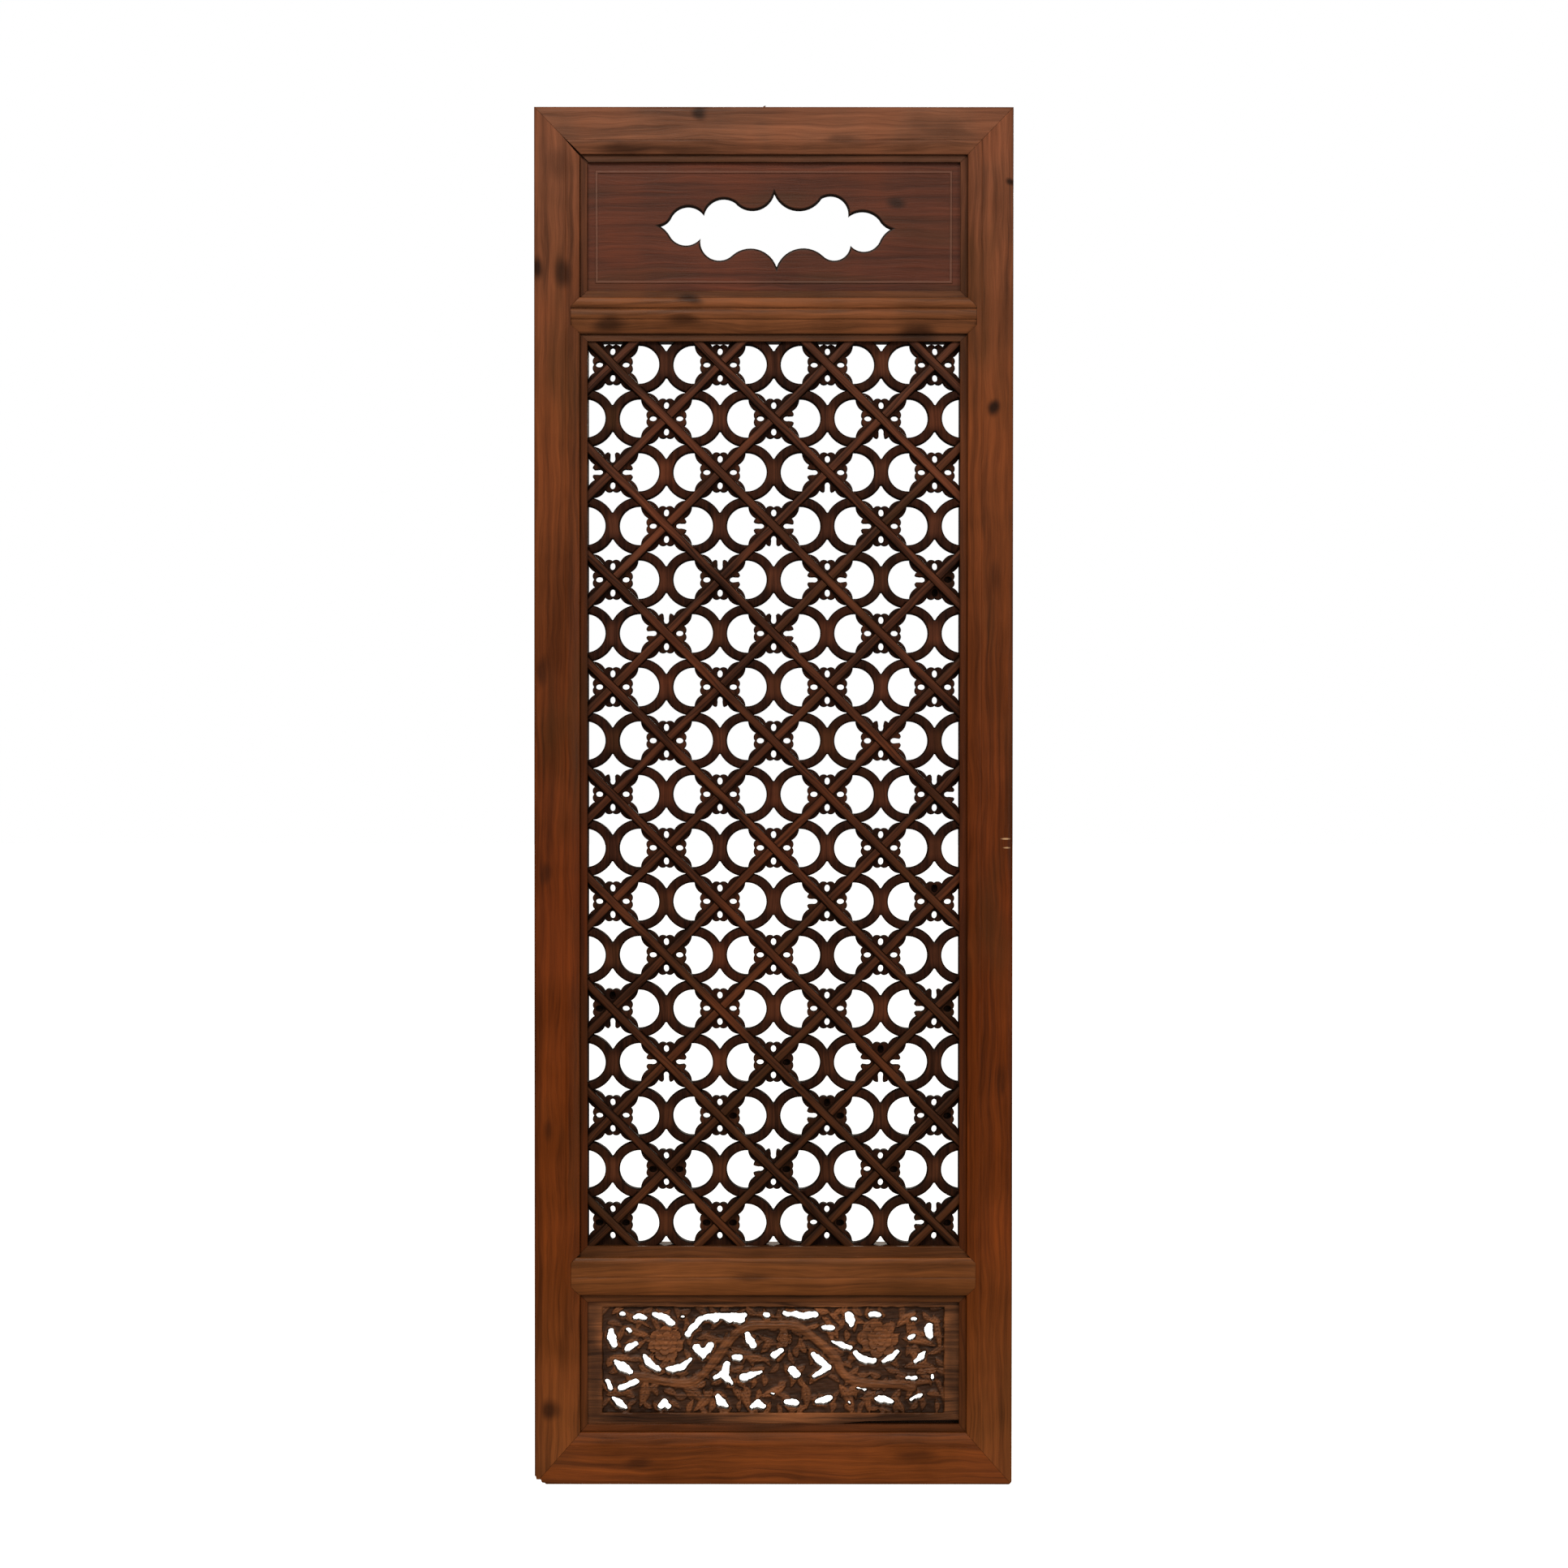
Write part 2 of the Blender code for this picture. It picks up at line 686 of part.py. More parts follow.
def scroll_host(column):
    """The rising bar that carries a scroll: the upper left one, or the lower right at the left edge."""
    return (1, -1) if column == -lattice_columns else (-1, 1)


def make_lattice():
    columns, rows = lattice_columns, lattice_rows
    last = columns + rows - (columns + rows + 1) % 2
    numbers = range(-last, last + 1, 2)
    rosettes = {number: [] for number in numbers}
    scrolls = {number: [] for number in numbers}
    for column in range(-columns, columns + 1):
        for row in range(-rows, rows + 1):
            if (column + row) % 2:
                rosettes[column - row].append(rosette(column, row))
            else:
                host = scroll_host(column)
                scrolls[column - row + host[0]].append(scroll(column, row, host))
    side = bay_half + seat_depth
    end = lattice_bay_height / 2 + seat_depth
    back = seat_front + bar_depth
    pieces = []
    for index, number in enumerate(numbers):
        rising = bar(f"bar_rising_{index + 1:02d}", 1, number)
        block_front = seat_front + cover_depth
        combine(rising, plate("rosettes", rosettes[number], block_front, back - rosette_back_inset), "UNION")
        if scrolls[number]:
            infill = plate("scrolls", scrolls[number], seat_front + scroll_inset, back - scroll_inset)
            combine(rising, infill, "UNION")
        falling = bar(f"bar_falling_{index + 1:02d}", -1, number)
        for piece in (rising, falling):
            bay = block("bay", -side, side, lattice_middle - end, lattice_middle + end, front, 0)
            combine(piece, bay, "INTERSECT")
            pieces.append(piece)
    return pieces


def main():
    clear_scene()
    collection = bpy.data.collections.new("pierced_wooden_panel")
    bpy.context.scene.collection.children.link(collection)
    finishes = {
        "stile": material("stile_wood", (0.125, 0.046, 0.017), 0.5),
        "rail": material("rail_wood", (0.150, 0.060, 0.026), 0.5),
        "board": material("board_wood", (0.105, 0.038, 0.020), 0.55),
        "bar": material("lattice_wood", (0.070, 0.024, 0.011), 0.6),
    }
    pieces = list(make_frame().values())
    pieces += [make_upper_board(), make_lower_board()]
    pieces += make_lattice()
    for piece in pieces:
        piece.data.shade_smooth()
        piece.data.set_sharp_from_angle(angle=sharp_edge)
        piece.data.materials.clear()
        piece.data.materials.append(finishes[piece.name.split("_")[0]])
        bpy.context.scene.collection.objects.unlink(piece)
        collection.objects.link(piece)


main()
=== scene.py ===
"""Looks of the pierced wooden panel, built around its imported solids.

Metres. X is to the right, Z is up, the front faces -Y and the back lies in the plane Y = 0.
Drawn lists are in millimetres, as each of them says.
"""
from math import acos, atan2, cos, hypot, pi, radians, sin, sqrt
from random import Random

import bmesh
import bpy
import numpy as np
from mathutils import Matrix, Vector, noise


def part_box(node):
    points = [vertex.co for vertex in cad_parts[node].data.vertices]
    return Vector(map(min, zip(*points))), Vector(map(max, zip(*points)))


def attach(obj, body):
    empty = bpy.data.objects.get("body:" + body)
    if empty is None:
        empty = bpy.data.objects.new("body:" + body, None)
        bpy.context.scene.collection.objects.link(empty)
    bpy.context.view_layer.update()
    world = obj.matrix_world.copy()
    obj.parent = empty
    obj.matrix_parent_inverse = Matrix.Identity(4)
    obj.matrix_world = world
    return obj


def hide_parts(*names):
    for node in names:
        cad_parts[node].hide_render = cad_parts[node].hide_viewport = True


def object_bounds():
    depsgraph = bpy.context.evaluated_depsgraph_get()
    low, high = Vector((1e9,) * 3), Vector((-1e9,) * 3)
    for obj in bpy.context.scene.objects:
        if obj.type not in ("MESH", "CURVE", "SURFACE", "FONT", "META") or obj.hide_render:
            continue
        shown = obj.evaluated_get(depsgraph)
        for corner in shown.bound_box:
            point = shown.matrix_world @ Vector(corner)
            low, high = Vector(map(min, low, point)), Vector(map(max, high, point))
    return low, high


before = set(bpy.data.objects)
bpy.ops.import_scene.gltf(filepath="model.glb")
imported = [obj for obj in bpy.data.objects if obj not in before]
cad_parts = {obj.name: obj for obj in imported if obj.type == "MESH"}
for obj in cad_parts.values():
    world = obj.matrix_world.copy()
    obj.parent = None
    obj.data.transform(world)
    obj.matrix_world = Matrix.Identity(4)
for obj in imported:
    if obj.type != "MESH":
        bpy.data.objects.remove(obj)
cad_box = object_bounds()

# Depths and moulding widths, as in the solids
strip_width = 0.0065
strip_recess = 0.007
slope_width = 0.014
slope_drop = 0.0032
arris_width = 0.0048
bead_rise = 0.0022
bead_slope_width = 0.0126
head_depth = 0.0095
head_reach = 0.0146
lip_thickness = 0.004
seat_depth = 0.005
seam = 0.00022
board_thickness = 0.010
border_margin = 0.007
border_width = 0.0026
border_rise = 0.0014
opening_length = 0.2095
opening_height = 0.066
opening_drop = 0.0006
opening_shift = 0.0015
carving_margin_side = 0.013
carving_margin_top = 0.0045
carving_margin_bottom = 0.0095
carving_rise = 0.0035
shrinkage_gap = 0.0037
shrinkage_start = 0.0563
shrinkage_knee = 0.085
shrinkage_depth = 0.006
lattice_columns = 3
lattice_rows = 8
lattice_margin_side = 0.02245
lattice_margin_end = 0.0202
bar_width = 0.008
bar_depth = 0.018
cover_depth = 0.006
scroll_width = 0.0078
scroll_waist = 0.0124
scroll_hook = radians(44)
scroll_inset = 0.0024
scroll_fullness = 0.001
scroll_flatness = 0.965
worn_corner = 0.003
OVERSHOOT = 0.004
MM = 0.001

# Fine steps of the mouldings, which the solids leave out
nose = 0.0007
nose_steps = 3
arris_steps = 6
fine_step = 0.0003
quirk_lip = 0.0004
quirk_depth = 0.0012
crown = 0.0001
crest_setback = 0.0008
crest_width = 0.0021
crest_dip = 0.0005
crest_bottom = 0.0009
bead_gap = 0.0004

# Unevenness of planed wood: waves along a member and round its section, seed step, share of the wear
member_step = 0.011
wear_depth = 0.0007
wear_waves = ((45, 0.7, 0, 0.35), (9, 0.25, 40, 0.4))
flat_front = 0.0002
chip_foot = 0.0002

# Openings, edges and surfaces that only the looks have
chip_width = 0.0105
chip_height = 0.007
opened_inset = 0.001
opened_width = 0.0015
ragged_bites = ((0.3, 0.0008), (0.42, -0.0005), (0.6, 0.0011), (0.75, -0.0002), (0.88, 0.0006))
opening_rounding = 0.0022
border_lift = 0.7
border_root = 0.003
border_rounding = 0.0009
bar_arris = 0.0004
bar_end_clear = 0.006
bar_waver = 0.00028
petal_rounding = 0.0013
petal_setback = 0.0003
petal_back = 0.0008
plug_depth = 0.003
plug_spread = 1.25
scroll_rounding = 0.0024
scroll_sink = 0.0012
scroll_blunt = 0.045
edge_angle = radians(32)
carving_edge_angle = radians(50)

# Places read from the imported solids
panel_low, panel_high = cad_box
half_width = panel_high.x
front = panel_low.y
panel_top = panel_high.z
panel_bottom = panel_low.z
bay_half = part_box("board_upper")[1].x - seat_depth
upper_bay_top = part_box("rail_top")[0].z
upper_bay_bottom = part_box("rail_upper")[1].z
lattice_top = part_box("rail_upper")[0].z
lattice_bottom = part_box("rail_lower")[1].z
lower_bay_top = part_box("rail_lower")[0].z
lower_bay_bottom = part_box("rail_bottom")[1].z
stile_width = half_width - bay_half
head_back = front + head_depth
seat_front = front + strip_recess + lip_thickness
lattice_middle = (lattice_top + lattice_bottom) / 2
lattice_half_height = (lattice_top - lattice_bottom) / 2
lower_bay_middle = (lower_bay_top + lower_bay_bottom) / 2

# Spacing of the lattice's crossings and the radii of its scrolls
column_pitch = (bay_half - lattice_margin_side) / lattice_columns
row_pitch = (lattice_half_height - lattice_margin_end) / lattice_rows
bar_run = hypot(column_pitch, row_pitch)
run_x, run_z = column_pitch / bar_run, row_pitch / bar_run
cell_reach = column_pitch * row_pitch / bar_run
cell_facing = atan2(column_pitch, row_pitch)
scroll_inner = (
    (cell_reach * (1 - scroll_waist / 2 / column_pitch) - bar_width / 2)
    / (cos(scroll_hook) + cell_reach / column_pitch)
)
scroll_outer = scroll_inner + scroll_width
scroll_offset = scroll_inner + scroll_waist / 2

X_AXIS = Vector((1, 0, 0))
Z_AXIS = Vector((0, 0, 1))


# Mesh helpers

def add_object(name, mesh):
    made = bpy.data.objects.new(name, mesh)
    bpy.context.scene.collection.objects.link(made)
    return made


def skin(name, rings):
    """A closed solid through rings of points that match one to one, capped at both ends."""
    count = len(rings[0])
    points = [point for ring in rings for point in ring]
    faces = []
    for ring in range(len(rings) - 1):
        for index in range(count):
            beside = (index + 1) % count
            here, there = ring * count, (ring + 1) * count
            faces.append((here + index, here + beside, there + beside, there + index))
    faces.append(tuple(range(count)))
    faces.append(tuple(reversed(range((len(rings) - 1) * count, len(rings) * count))))
    mesh = bpy.data.meshes.new(name)
    mesh.from_pydata(points, [], faces)
    face_outward(mesh)
    return add_object(name, mesh)


def face_outward(mesh):
    shape = bmesh.new()
    shape.from_mesh(mesh)
    bmesh.ops.recalc_face_normals(shape, faces=shape.faces)
    shape.to_mesh(mesh)
    shape.free()


def plate(name, outlines, y_front, y_back, rounding=0.0, rounding_steps=1):
    """Outlines in X and Z cut from flat stock, with edges rounded by the radius given."""
    curve = bpy.data.curves.new(name, "CURVE")
    curve.dimensions = "2D"
    curve.fill_mode = "BOTH"
    curve.extrude = (y_back - y_front) / 2 - rounding
    curve.bevel_depth = rounding
    curve.bevel_resolution = rounding_steps
    curve.offset = -rounding
    for outline in outlines:
        spline = curve.splines.new("POLY")
        spline.points.add(len(outline) - 1)
        for point, (a, b) in zip(spline.points, outline):
            point.co = (a, b, 0, 1)
        spline.use_cyclic_u = True
    flat = add_object(name + "_outline", curve)
    graph = bpy.context.evaluated_depsgraph_get()
    mesh = bpy.data.meshes.new_from_object(flat.evaluated_get(graph))
    mesh.name = name
    bpy.data.objects.remove(flat, do_unlink=True)
    bpy.data.curves.remove(curve)
    turn = Matrix((X_AXIS, Z_AXIS, X_AXIS.cross(Z_AXIS))).transposed().to_4x4()
    middle = Matrix.Translation((0, (y_front + y_back) / 2, 0))
    shape = bmesh.new()
    shape.from_mesh(mesh)
    bmesh.ops.remove_doubles(shape, verts=shape.verts, dist=1e-6)
    bmesh.ops.transform(shape, matrix=middle @ turn, verts=shape.verts)
    bmesh.ops.recalc_face_normals(shape, faces=shape.faces)
    shape.to_mesh(mesh)
    shape.free()
    return add_object(name, mesh)


def combine(piece, tool, operation):
    """Join, cut or limit piece by tool, which is used up."""
    step = piece.modifiers.new(operation.title(), "BOOLEAN")
    step.operation = operation
    step.solver = "EXACT"
    step.object = tool
    graph = bpy.context.evaluated_depsgraph_get()
    mesh = bpy.data.meshes.new_from_object(piece.evaluated_get(graph))
    piece.modifiers.clear()
    piece.data = mesh
    bpy.data.objects.remove(tool, do_unlink=True)


def rectangle(a_low, a_high, b_low, b_high):
    return [(a_low, b_low), (a_high, b_low), (a_high, b_high), (a_low, b_high)]


def finish_piece(piece, finish, nodes, sharp=edge_angle):
    """Shade a piece, give it its material, and let it stand for its solids on the body."""
    piece.data.shade_smooth()
    piece.data.set_sharp_from_angle(angle=sharp)
    even = piece.modifiers.new("EvenShading", "WEIGHTED_NORMAL")
    even.keep_sharp = True
    piece.data.materials.clear()
    piece.data.materials.append(finish)
    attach(piece, "root")
    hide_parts(*nodes)
    return piece


# Frame members

def quarter(start, end, steps, hollow=False):
    """Points on a quarter of an ellipse from start to end, leaving start along U or, if hollow, along Y."""
    points = []
    for step in range(steps + 1):
        angle = pi / 2 * step / steps
        shares = (sin(angle), 1 - cos(angle))
        if hollow:
            shares = (1 - cos(angle), sin(angle))
        points.append(tuple(a + (b - a) * share for a, b, share in zip(start, end, shares)))
    return points


def slope(start, end, top, drop, shares):
    """Points from start to end, each at its share of the way and of the drop."""
    return [(start + (end - start) * way, top + drop * part) for way, part in shares]


def outer_strip(edge):
    """A recessed strip with a rounded outer edge, up to the moulding that rises at edge."""
    rounded = quarter((0, strip_recess + nose), (nose, strip_recess), nose_steps, hollow=True)
    return rounded + [(edge - fine_step, strip_recess), (edge, strip_recess - fine_step)]


def inner_strip(width, slope_foot, recess):
    """From the foot of the slope: a sharp quirk, the strip, and its rounded sight edge."""
    edge = width - strip_width
    return [
        (edge - quirk_lip, slope_foot + fine_step),
        (edge, slope_foot + quirk_depth),
        (edge, recess + fine_step),
        (edge + fine_step, recess),
        (edge + strip_width / 2, recess - crown),
        *quarter((width - nose, recess), (width, recess + nose), nose_steps),
    ]


def outer_moulding(width):
    """Front of a stile, top rail or bottom rail: (distance from the outer edge, depth from the front)."""
    edge = width - strip_width
    crest = edge - slope_width + crest_setback
    points = quarter((0, arris_width * 0.8), (arris_width, crown), arris_steps, hollow=True)
    points += slope(arris_width, crest, fine_step, -fine_step, ((0.3, 0.3), (0.65, 0.65)))
    points += [(crest, 0), (crest + crest_dip, crest_dip), (crest + crest_bottom, crest_dip * 0.7)]
    falls = ((0, 0.06), (0.25, 0.17), (0.5, 0.38), (0.75, 0.66), (0.94, 0.95))
    points += slope(crest + crest_width, edge, 0, slope_drop, falls)
    return points + inner_strip(width, slope_drop, strip_recess)


def round_bead(start, width, quirk, steps=8):
    """A half-round bead that falls to quirk at both of its sides."""
    points = []
    for step in range(steps + 1):
        angle = pi * step / steps
        points.append((start + width / 2 * (1 - cos(angle)), quirk * (1 - sin(angle))))
    return points


def beaded_moulding(width):
    """Front of the upper rail, from its top edge down: a strip, two beads, a slope and a strip."""
    bead_width = (width - 2 * strip_width - bead_slope_width) / 2
    points = outer_strip(strip_width)
    for bead in range(2):
        points += round_bead(strip_width + bead * bead_width, bead_width - bead_gap, bead_rise)
    start = strip_width + 2 * bead_width
    falls = [(share, share ** 1.4) for share in (0.2, 0.5, 0.8)]
    points += slope(start, width - strip_width, bead_rise, slope_drop, falls)
    return points + inner_strip(width, bead_rise + slope_drop, strip_recess + slope_drop / 2)


def crested_moulding(width):
    """Front of the lower rail: a strip, a full round with a fine crest, and a strip."""
    start = strip_width + slope_drop
    end = width - strip_width
    crest = start + (end - start) * 0.53
    points = outer_strip(start)
    points += quarter((start, bead_rise * 1.3), (start + arris_width * 1.3, 0.0002), arris_steps, hollow=True)
    points += [(crest - 0.0012, 0.0), (crest - 0.0004, 0.0006), (crest + 0.0006, 0.0003)]
    falls = ((0.2, 0.03), (0.4, 0.12), (0.6, 0.3), (0.8, 0.6), (0.95, 0.93))
    points += slope(crest, end, 0, slope_drop, falls)
    return points + inner_strip(width, slope_drop, strip_recess)


def member(name, moulding, low, high, place):
    """A moulded length of wood from low to high, with uneven arrises. Place puts (u, y, s) in space."""
    count = max(int((high - low) / member_step), 2)
    section = [(u, front + depth) for u, depth in moulding]
    section += [(section[-1][0], 0.0), (section[0][0], 0.0)]
    seed = sum(ord(letter) for letter in name)

    def worn(u, y, s, point):
        """The depth after wear. The front face is hardly lifted, and the sides and back not at all."""
        if y == 0.0 or u == section[-1][0]:
            return y
        wear = 0.0
        for along, around, other_seed, share in wear_waves:
            wave = noise.noise(Vector((s * along, point * around, seed + other_seed)))
            wear += wave * wear_depth * share
        return y + (max(wear, -fine_step) if y < front + flat_front else wear)

    rings = []
    for index in range(count + 1):
        s = low + (high - low) * index / count
        rings.append([place(u, worn(u, y, s, point), s) for point, (u, y) in enumerate(section)])
    return skin(name, rings)


def corner_head(z_inner, z_outer, grow=0.0):
    """Front outline of an outer rail, mitred from the bay's corners to the panel's corners."""
    slope = (z_outer - z_inner) / stile_width
    shift = grow * hypot(1, 1 / slope)
    outline = []
    for side in (-1, 1):
        low = (side * (bay_half - OVERSHOOT + shift), z_inner - slope * OVERSHOOT)
        high = (side * (half_width + OVERSHOOT + shift), z_outer + slope * OVERSHOOT)
        outline += [low, high] if side < 0 else [high, low]
    return outline


def middle_head(z_low, z_high, grow=0.0):
    """Front outline of a middle rail, which ends in blunt points let into the stiles."""
    shift = grow * sqrt(2)
    outline = []
    for side in (-1, 1):
        root = side * (bay_half - OVERSHOOT + shift)
        point = side * (bay_half + head_reach + grow)
        end = [
            (root, z_low - OVERSHOOT),
            (point, z_low + head_reach + grow - shift),
            (point, z_high - head_reach - grow + shift),
            (root, z_high + OVERSHOOT),
        ]
        outline += end if side > 0 else end[::-1]
    return outline


def fit_rail(piece, outline, z_low, z_high):
    """Mitre the rail's head and cut the shoulders behind it back to the stiles."""
    combine(piece, plate("head", [outline], front - OVERSHOOT, OVERSHOOT), "INTERSECT")
    beyond = half_width + 2 * OVERSHOOT
    shoulder = bay_half - seam / 2
    sides = [
        rectangle(low, high, z_low - OVERSHOOT, z_high + OVERSHOOT)
        for low, high in ((-beyond, -shoulder), (shoulder, beyond))
    ]
    combine(piece, plate("shoulders", sides, head_back, OVERSHOOT), "DIFFERENCE")


def chip_corner(piece, side, width, height, bites=()):
    """Break off a lower outer corner of the panel, with bites of (share of the way, depth) if ragged."""
    outer = side * (half_width + OVERSHOOT)
    inner = side * (half_width - width)
    start = (outer, panel_bottom + height + OVERSHOOT * height / width)
    end = (inner, panel_bottom - chip_foot)
    edge = []
    for share, bite in bites:
        x, z = (a + (b - a) * share for a, b in zip(start, end))
        edge.append((x - side * bite, z + bite))
    low = panel_bottom - OVERSHOOT
    outline = [(outer, low), start, *edge, end, (inner, low)]
    combine(piece, plate("chip", [outline], front - OVERSHOOT, OVERSHOOT), "DIFFERENCE")


def make_frame(finishes):
    # Each rail's moulding, the edge this is measured from, its other edge, and the outline of its head
    rails = {
        "rail_top": (outer_moulding, panel_top, upper_bay_top, corner_head),
        "rail_upper": (beaded_moulding, upper_bay_bottom, lattice_top, middle_head),
        "rail_lower": (crested_moulding, lattice_bottom, lower_bay_top, middle_head),
        "rail_bottom": (outer_moulding, panel_bottom, lower_bay_bottom, corner_head),
    }
    pieces = {}
    for name, (moulding, edge, other, head) in rails.items():
        way = 1 if other > edge else -1

        def place(u, y, s, edge=edge, way=way):
            return (s, y, edge + way * u)

        piece = member(name + "_wood", moulding(abs(other - edge)), -half_width, half_width, place)
        fit_rail(piece, head(other, edge), min(edge, other), max(edge, other))
        pieces[name] = piece
    for name, side in (("stile_left", -1), ("stile_right", 1)):

        def place(u, y, s, side=side):
            return (side * (half_width - u), y, s)

        piece = member(name + "_wood", outer_moulding(stile_width), panel_bottom, panel_top, place)
        for _, edge, other, head in rails.values():
            notch = plate("notch", [head(other, edge, seam)], front - OVERSHOOT, head_back + seam)
            combine(piece, notch, "DIFFERENCE")
        pieces[name] = piece
    for name in ("stile_left", "rail_bottom"):
        chip_corner(pieces[name], -1, chip_width, chip_height, ragged_bites)
    for name in ("stile_right", "rail_bottom"):
        chip_corner(pieces[name], 1, worn_corner, worn_corner)
    open_seam(pieces)
    for name, piece in pieces.items():
        finish_piece(piece, finishes[name.split("_")[0]], [name])


def open_seam(pieces):
    """The upper left mitre has opened from the middle of its length to the bay's corner."""
    inner = Vector((-bay_half + opened_inset, upper_bay_top - opened_inset))
    outer = Vector((-bay_half - stile_width / 2, (upper_bay_top + panel_top) / 2))
    across = (outer - inner).orthogonal().normalized() * opened_width
    outline = [inner + across, inner.lerp(outer, 0.5) + across * 0.8, outer, inner - across * 0.7]
    for name in ("stile_left", "rail_top"):
        cutter = plate("opened", [[tuple(point) for point in outline]], front - OVERSHOOT, head_back)
        combine(pieces[name], cutter, "DIFFERENCE")


# Upper board

def arc(start, end, bulge, steps):
    """Points from start up to end, which is left out, on an arc that bulges to the left by bulge."""
    (x0, z0), (x1, z1) = start, end
    chord = hypot(x1 - x0, z1 - z0)
    along = ((x1 - x0) / chord, (z1 - z0) / chord)
    left = (-along[1], along[0])
    way = 1 if bulge > 0 else -1
    half_angle = 2 * acos(chord / hypot(chord, 2 * bulge))
    radius = chord / 2 / sin(half_angle)
    points = []
    for step in range(steps):
        angle = half_angle * (2 * step / steps - 1)
        s = chord / 2 + radius * sin(angle)
        rise = way * radius * (cos(angle) - cos(half_angle))
        points.append((x0 + along[0] * s + left[0] * rise, z0 + along[1] * s + left[1] * rise))
    return points


def cartouche():
    """The shaped opening: a point, a small lobe and a large lobe on each side of a raised middle."""
    steps_per_arc = 14
    length = opening_length / 2
    height = opening_height / 2
    # Corners and dips in shares of the half sizes, with the bulge of the arc that follows each
    corners = [
        (-1.00, 0.05, -0.05), (-0.90, 0.31, 0.25), (-0.62, 0.35, 0.25), (-0.35, 0.70, -0.33),
        (-0.01, 0.94, -0.40), (0.40, 0.82, 0.28), (0.63, 0.31, 0.18), (0.90, 0.23, -0.04),
        (1.00, -0.03, -0.03), (0.91, -0.33, 0.24), (0.65, -0.48, 0.26), (0.41, -0.76, -0.35),
        (0.01, -1.07, -0.33), (-0.37, -0.74, 0.36), (-0.65, -0.29, 0.21), (-0.91, -0.25, -0.03),
    ]
    centre = (upper_bay_top + upper_bay_bottom) / 2 - opening_drop
    outline = []
    for index, (x, z, bulge) in enumerate(corners):
        x_next, z_next = corners[(index + 1) % len(corners)][:2]
        here = (opening_shift + x * length, centre + z * height)
        there = (opening_shift + x_next * length, centre + z_next * height)
        outline += arc(here, there, bulge * height, steps_per_arc)
    return outline


def make_upper_board(finishes):
    side = bay_half + seat_depth / 2
    high = upper_bay_top + seat_depth / 2
    low = upper_bay_bottom - seat_depth / 2
    board = plate(
        "board_upper_wood", [rectangle(-side, side, low, high), cartouche()],
        seat_front, seat_front + board_thickness, opening_rounding, 5,
    )
    outer = bay_half - border_margin
    inner = outer - border_width
    top = upper_bay_top - border_margin
    bottom = upper_bay_bottom + border_margin
    ring = [
        rectangle(-outer, outer, bottom, top),
        rectangle(-inner, inner, bottom + border_width, top - border_width),
    ]
    lifted = seat_front - border_rise * border_lift
    line = plate("line", ring, lifted, seat_front + border_root, border_rounding, 3)
    combine(board, line, "UNION")
    finish_piece(board, finishes["board"], ["board_upper"])


# Lower board: a relief worked out on a grid, in millimetres from the middle of its field

VINE = [
    (-130, -14), (-116, -14), (-95, -18.5), (-77, -19), (-65, -12), (-55, -0.5), (-36, 24), (-21, 33),
    (0, 34), (20, 33), (36, 23), (56, 5), (62, -8), (73, -17), (95, -20), (116, -20), (126, -23),
]
FLOWERS = [((-98, 17), 16.5, 0.2), ((97, 21), 17.5, 0.9), ((10, 21.3), 7.5, 0.5)]
LEAVES = [
    ((-84, -20), (-62, -38), 12), ((-116, -16), (-122, -42), 11), ((82, -18.5), (60, -32), 10),
    ((28, -18), (30, -44), 10), ((-6, 2), (-34, 10), 9), ((117, 22), (150, 14), 9),
    ((-112, 24), (-138, 34), 8), ((113, -20), (145, -19), 9), ((-55, -24), (-74, -46), 10),
    ((-30, -25), (-22, -46), 9), ((12, -20), (-14, -32), 10), ((60, -20), (74, -46), 10),
    ((-150, 5), (-124, 0), 7), ((-153, -30), (-128, -30), 7), ((-86, 30), (-108, 50), 9),
    ((-46, 20), (-66, 26), 8), ((-4, 20), (-12, 8), 8), ((30, 8), (24, 24), 8),
    ((48, 36), (60, 20), 9), ((84, 36), (60, 46), 8), ((112, 32), (132, 46), 9),
    ((146, 44), (152, 6), 7), ((62, 0), (72, -6), 7), ((118, -4), (150, -4), 8),
    ((120, -46), (110, -28), 8), ((-20, 44), (6, 40), 6), ((50, 46), (64, 30), 6),
    ((-140, 46), (-110, 30), 6), ((88, -46), (88, -28), 7), ((-118, 6), (-104, -10), 6),
]
# Rows of a flower's petals: share of its radius, count, turn, height at the middle and rise to the edge
FLOWER_ROWS = [(1.0, 7, 0.0, 1.0, 1.7), (0.66, 6, 0.5, 1.7, 1.7), (0.36, 4, 0.2, 2.3, 1.2)]
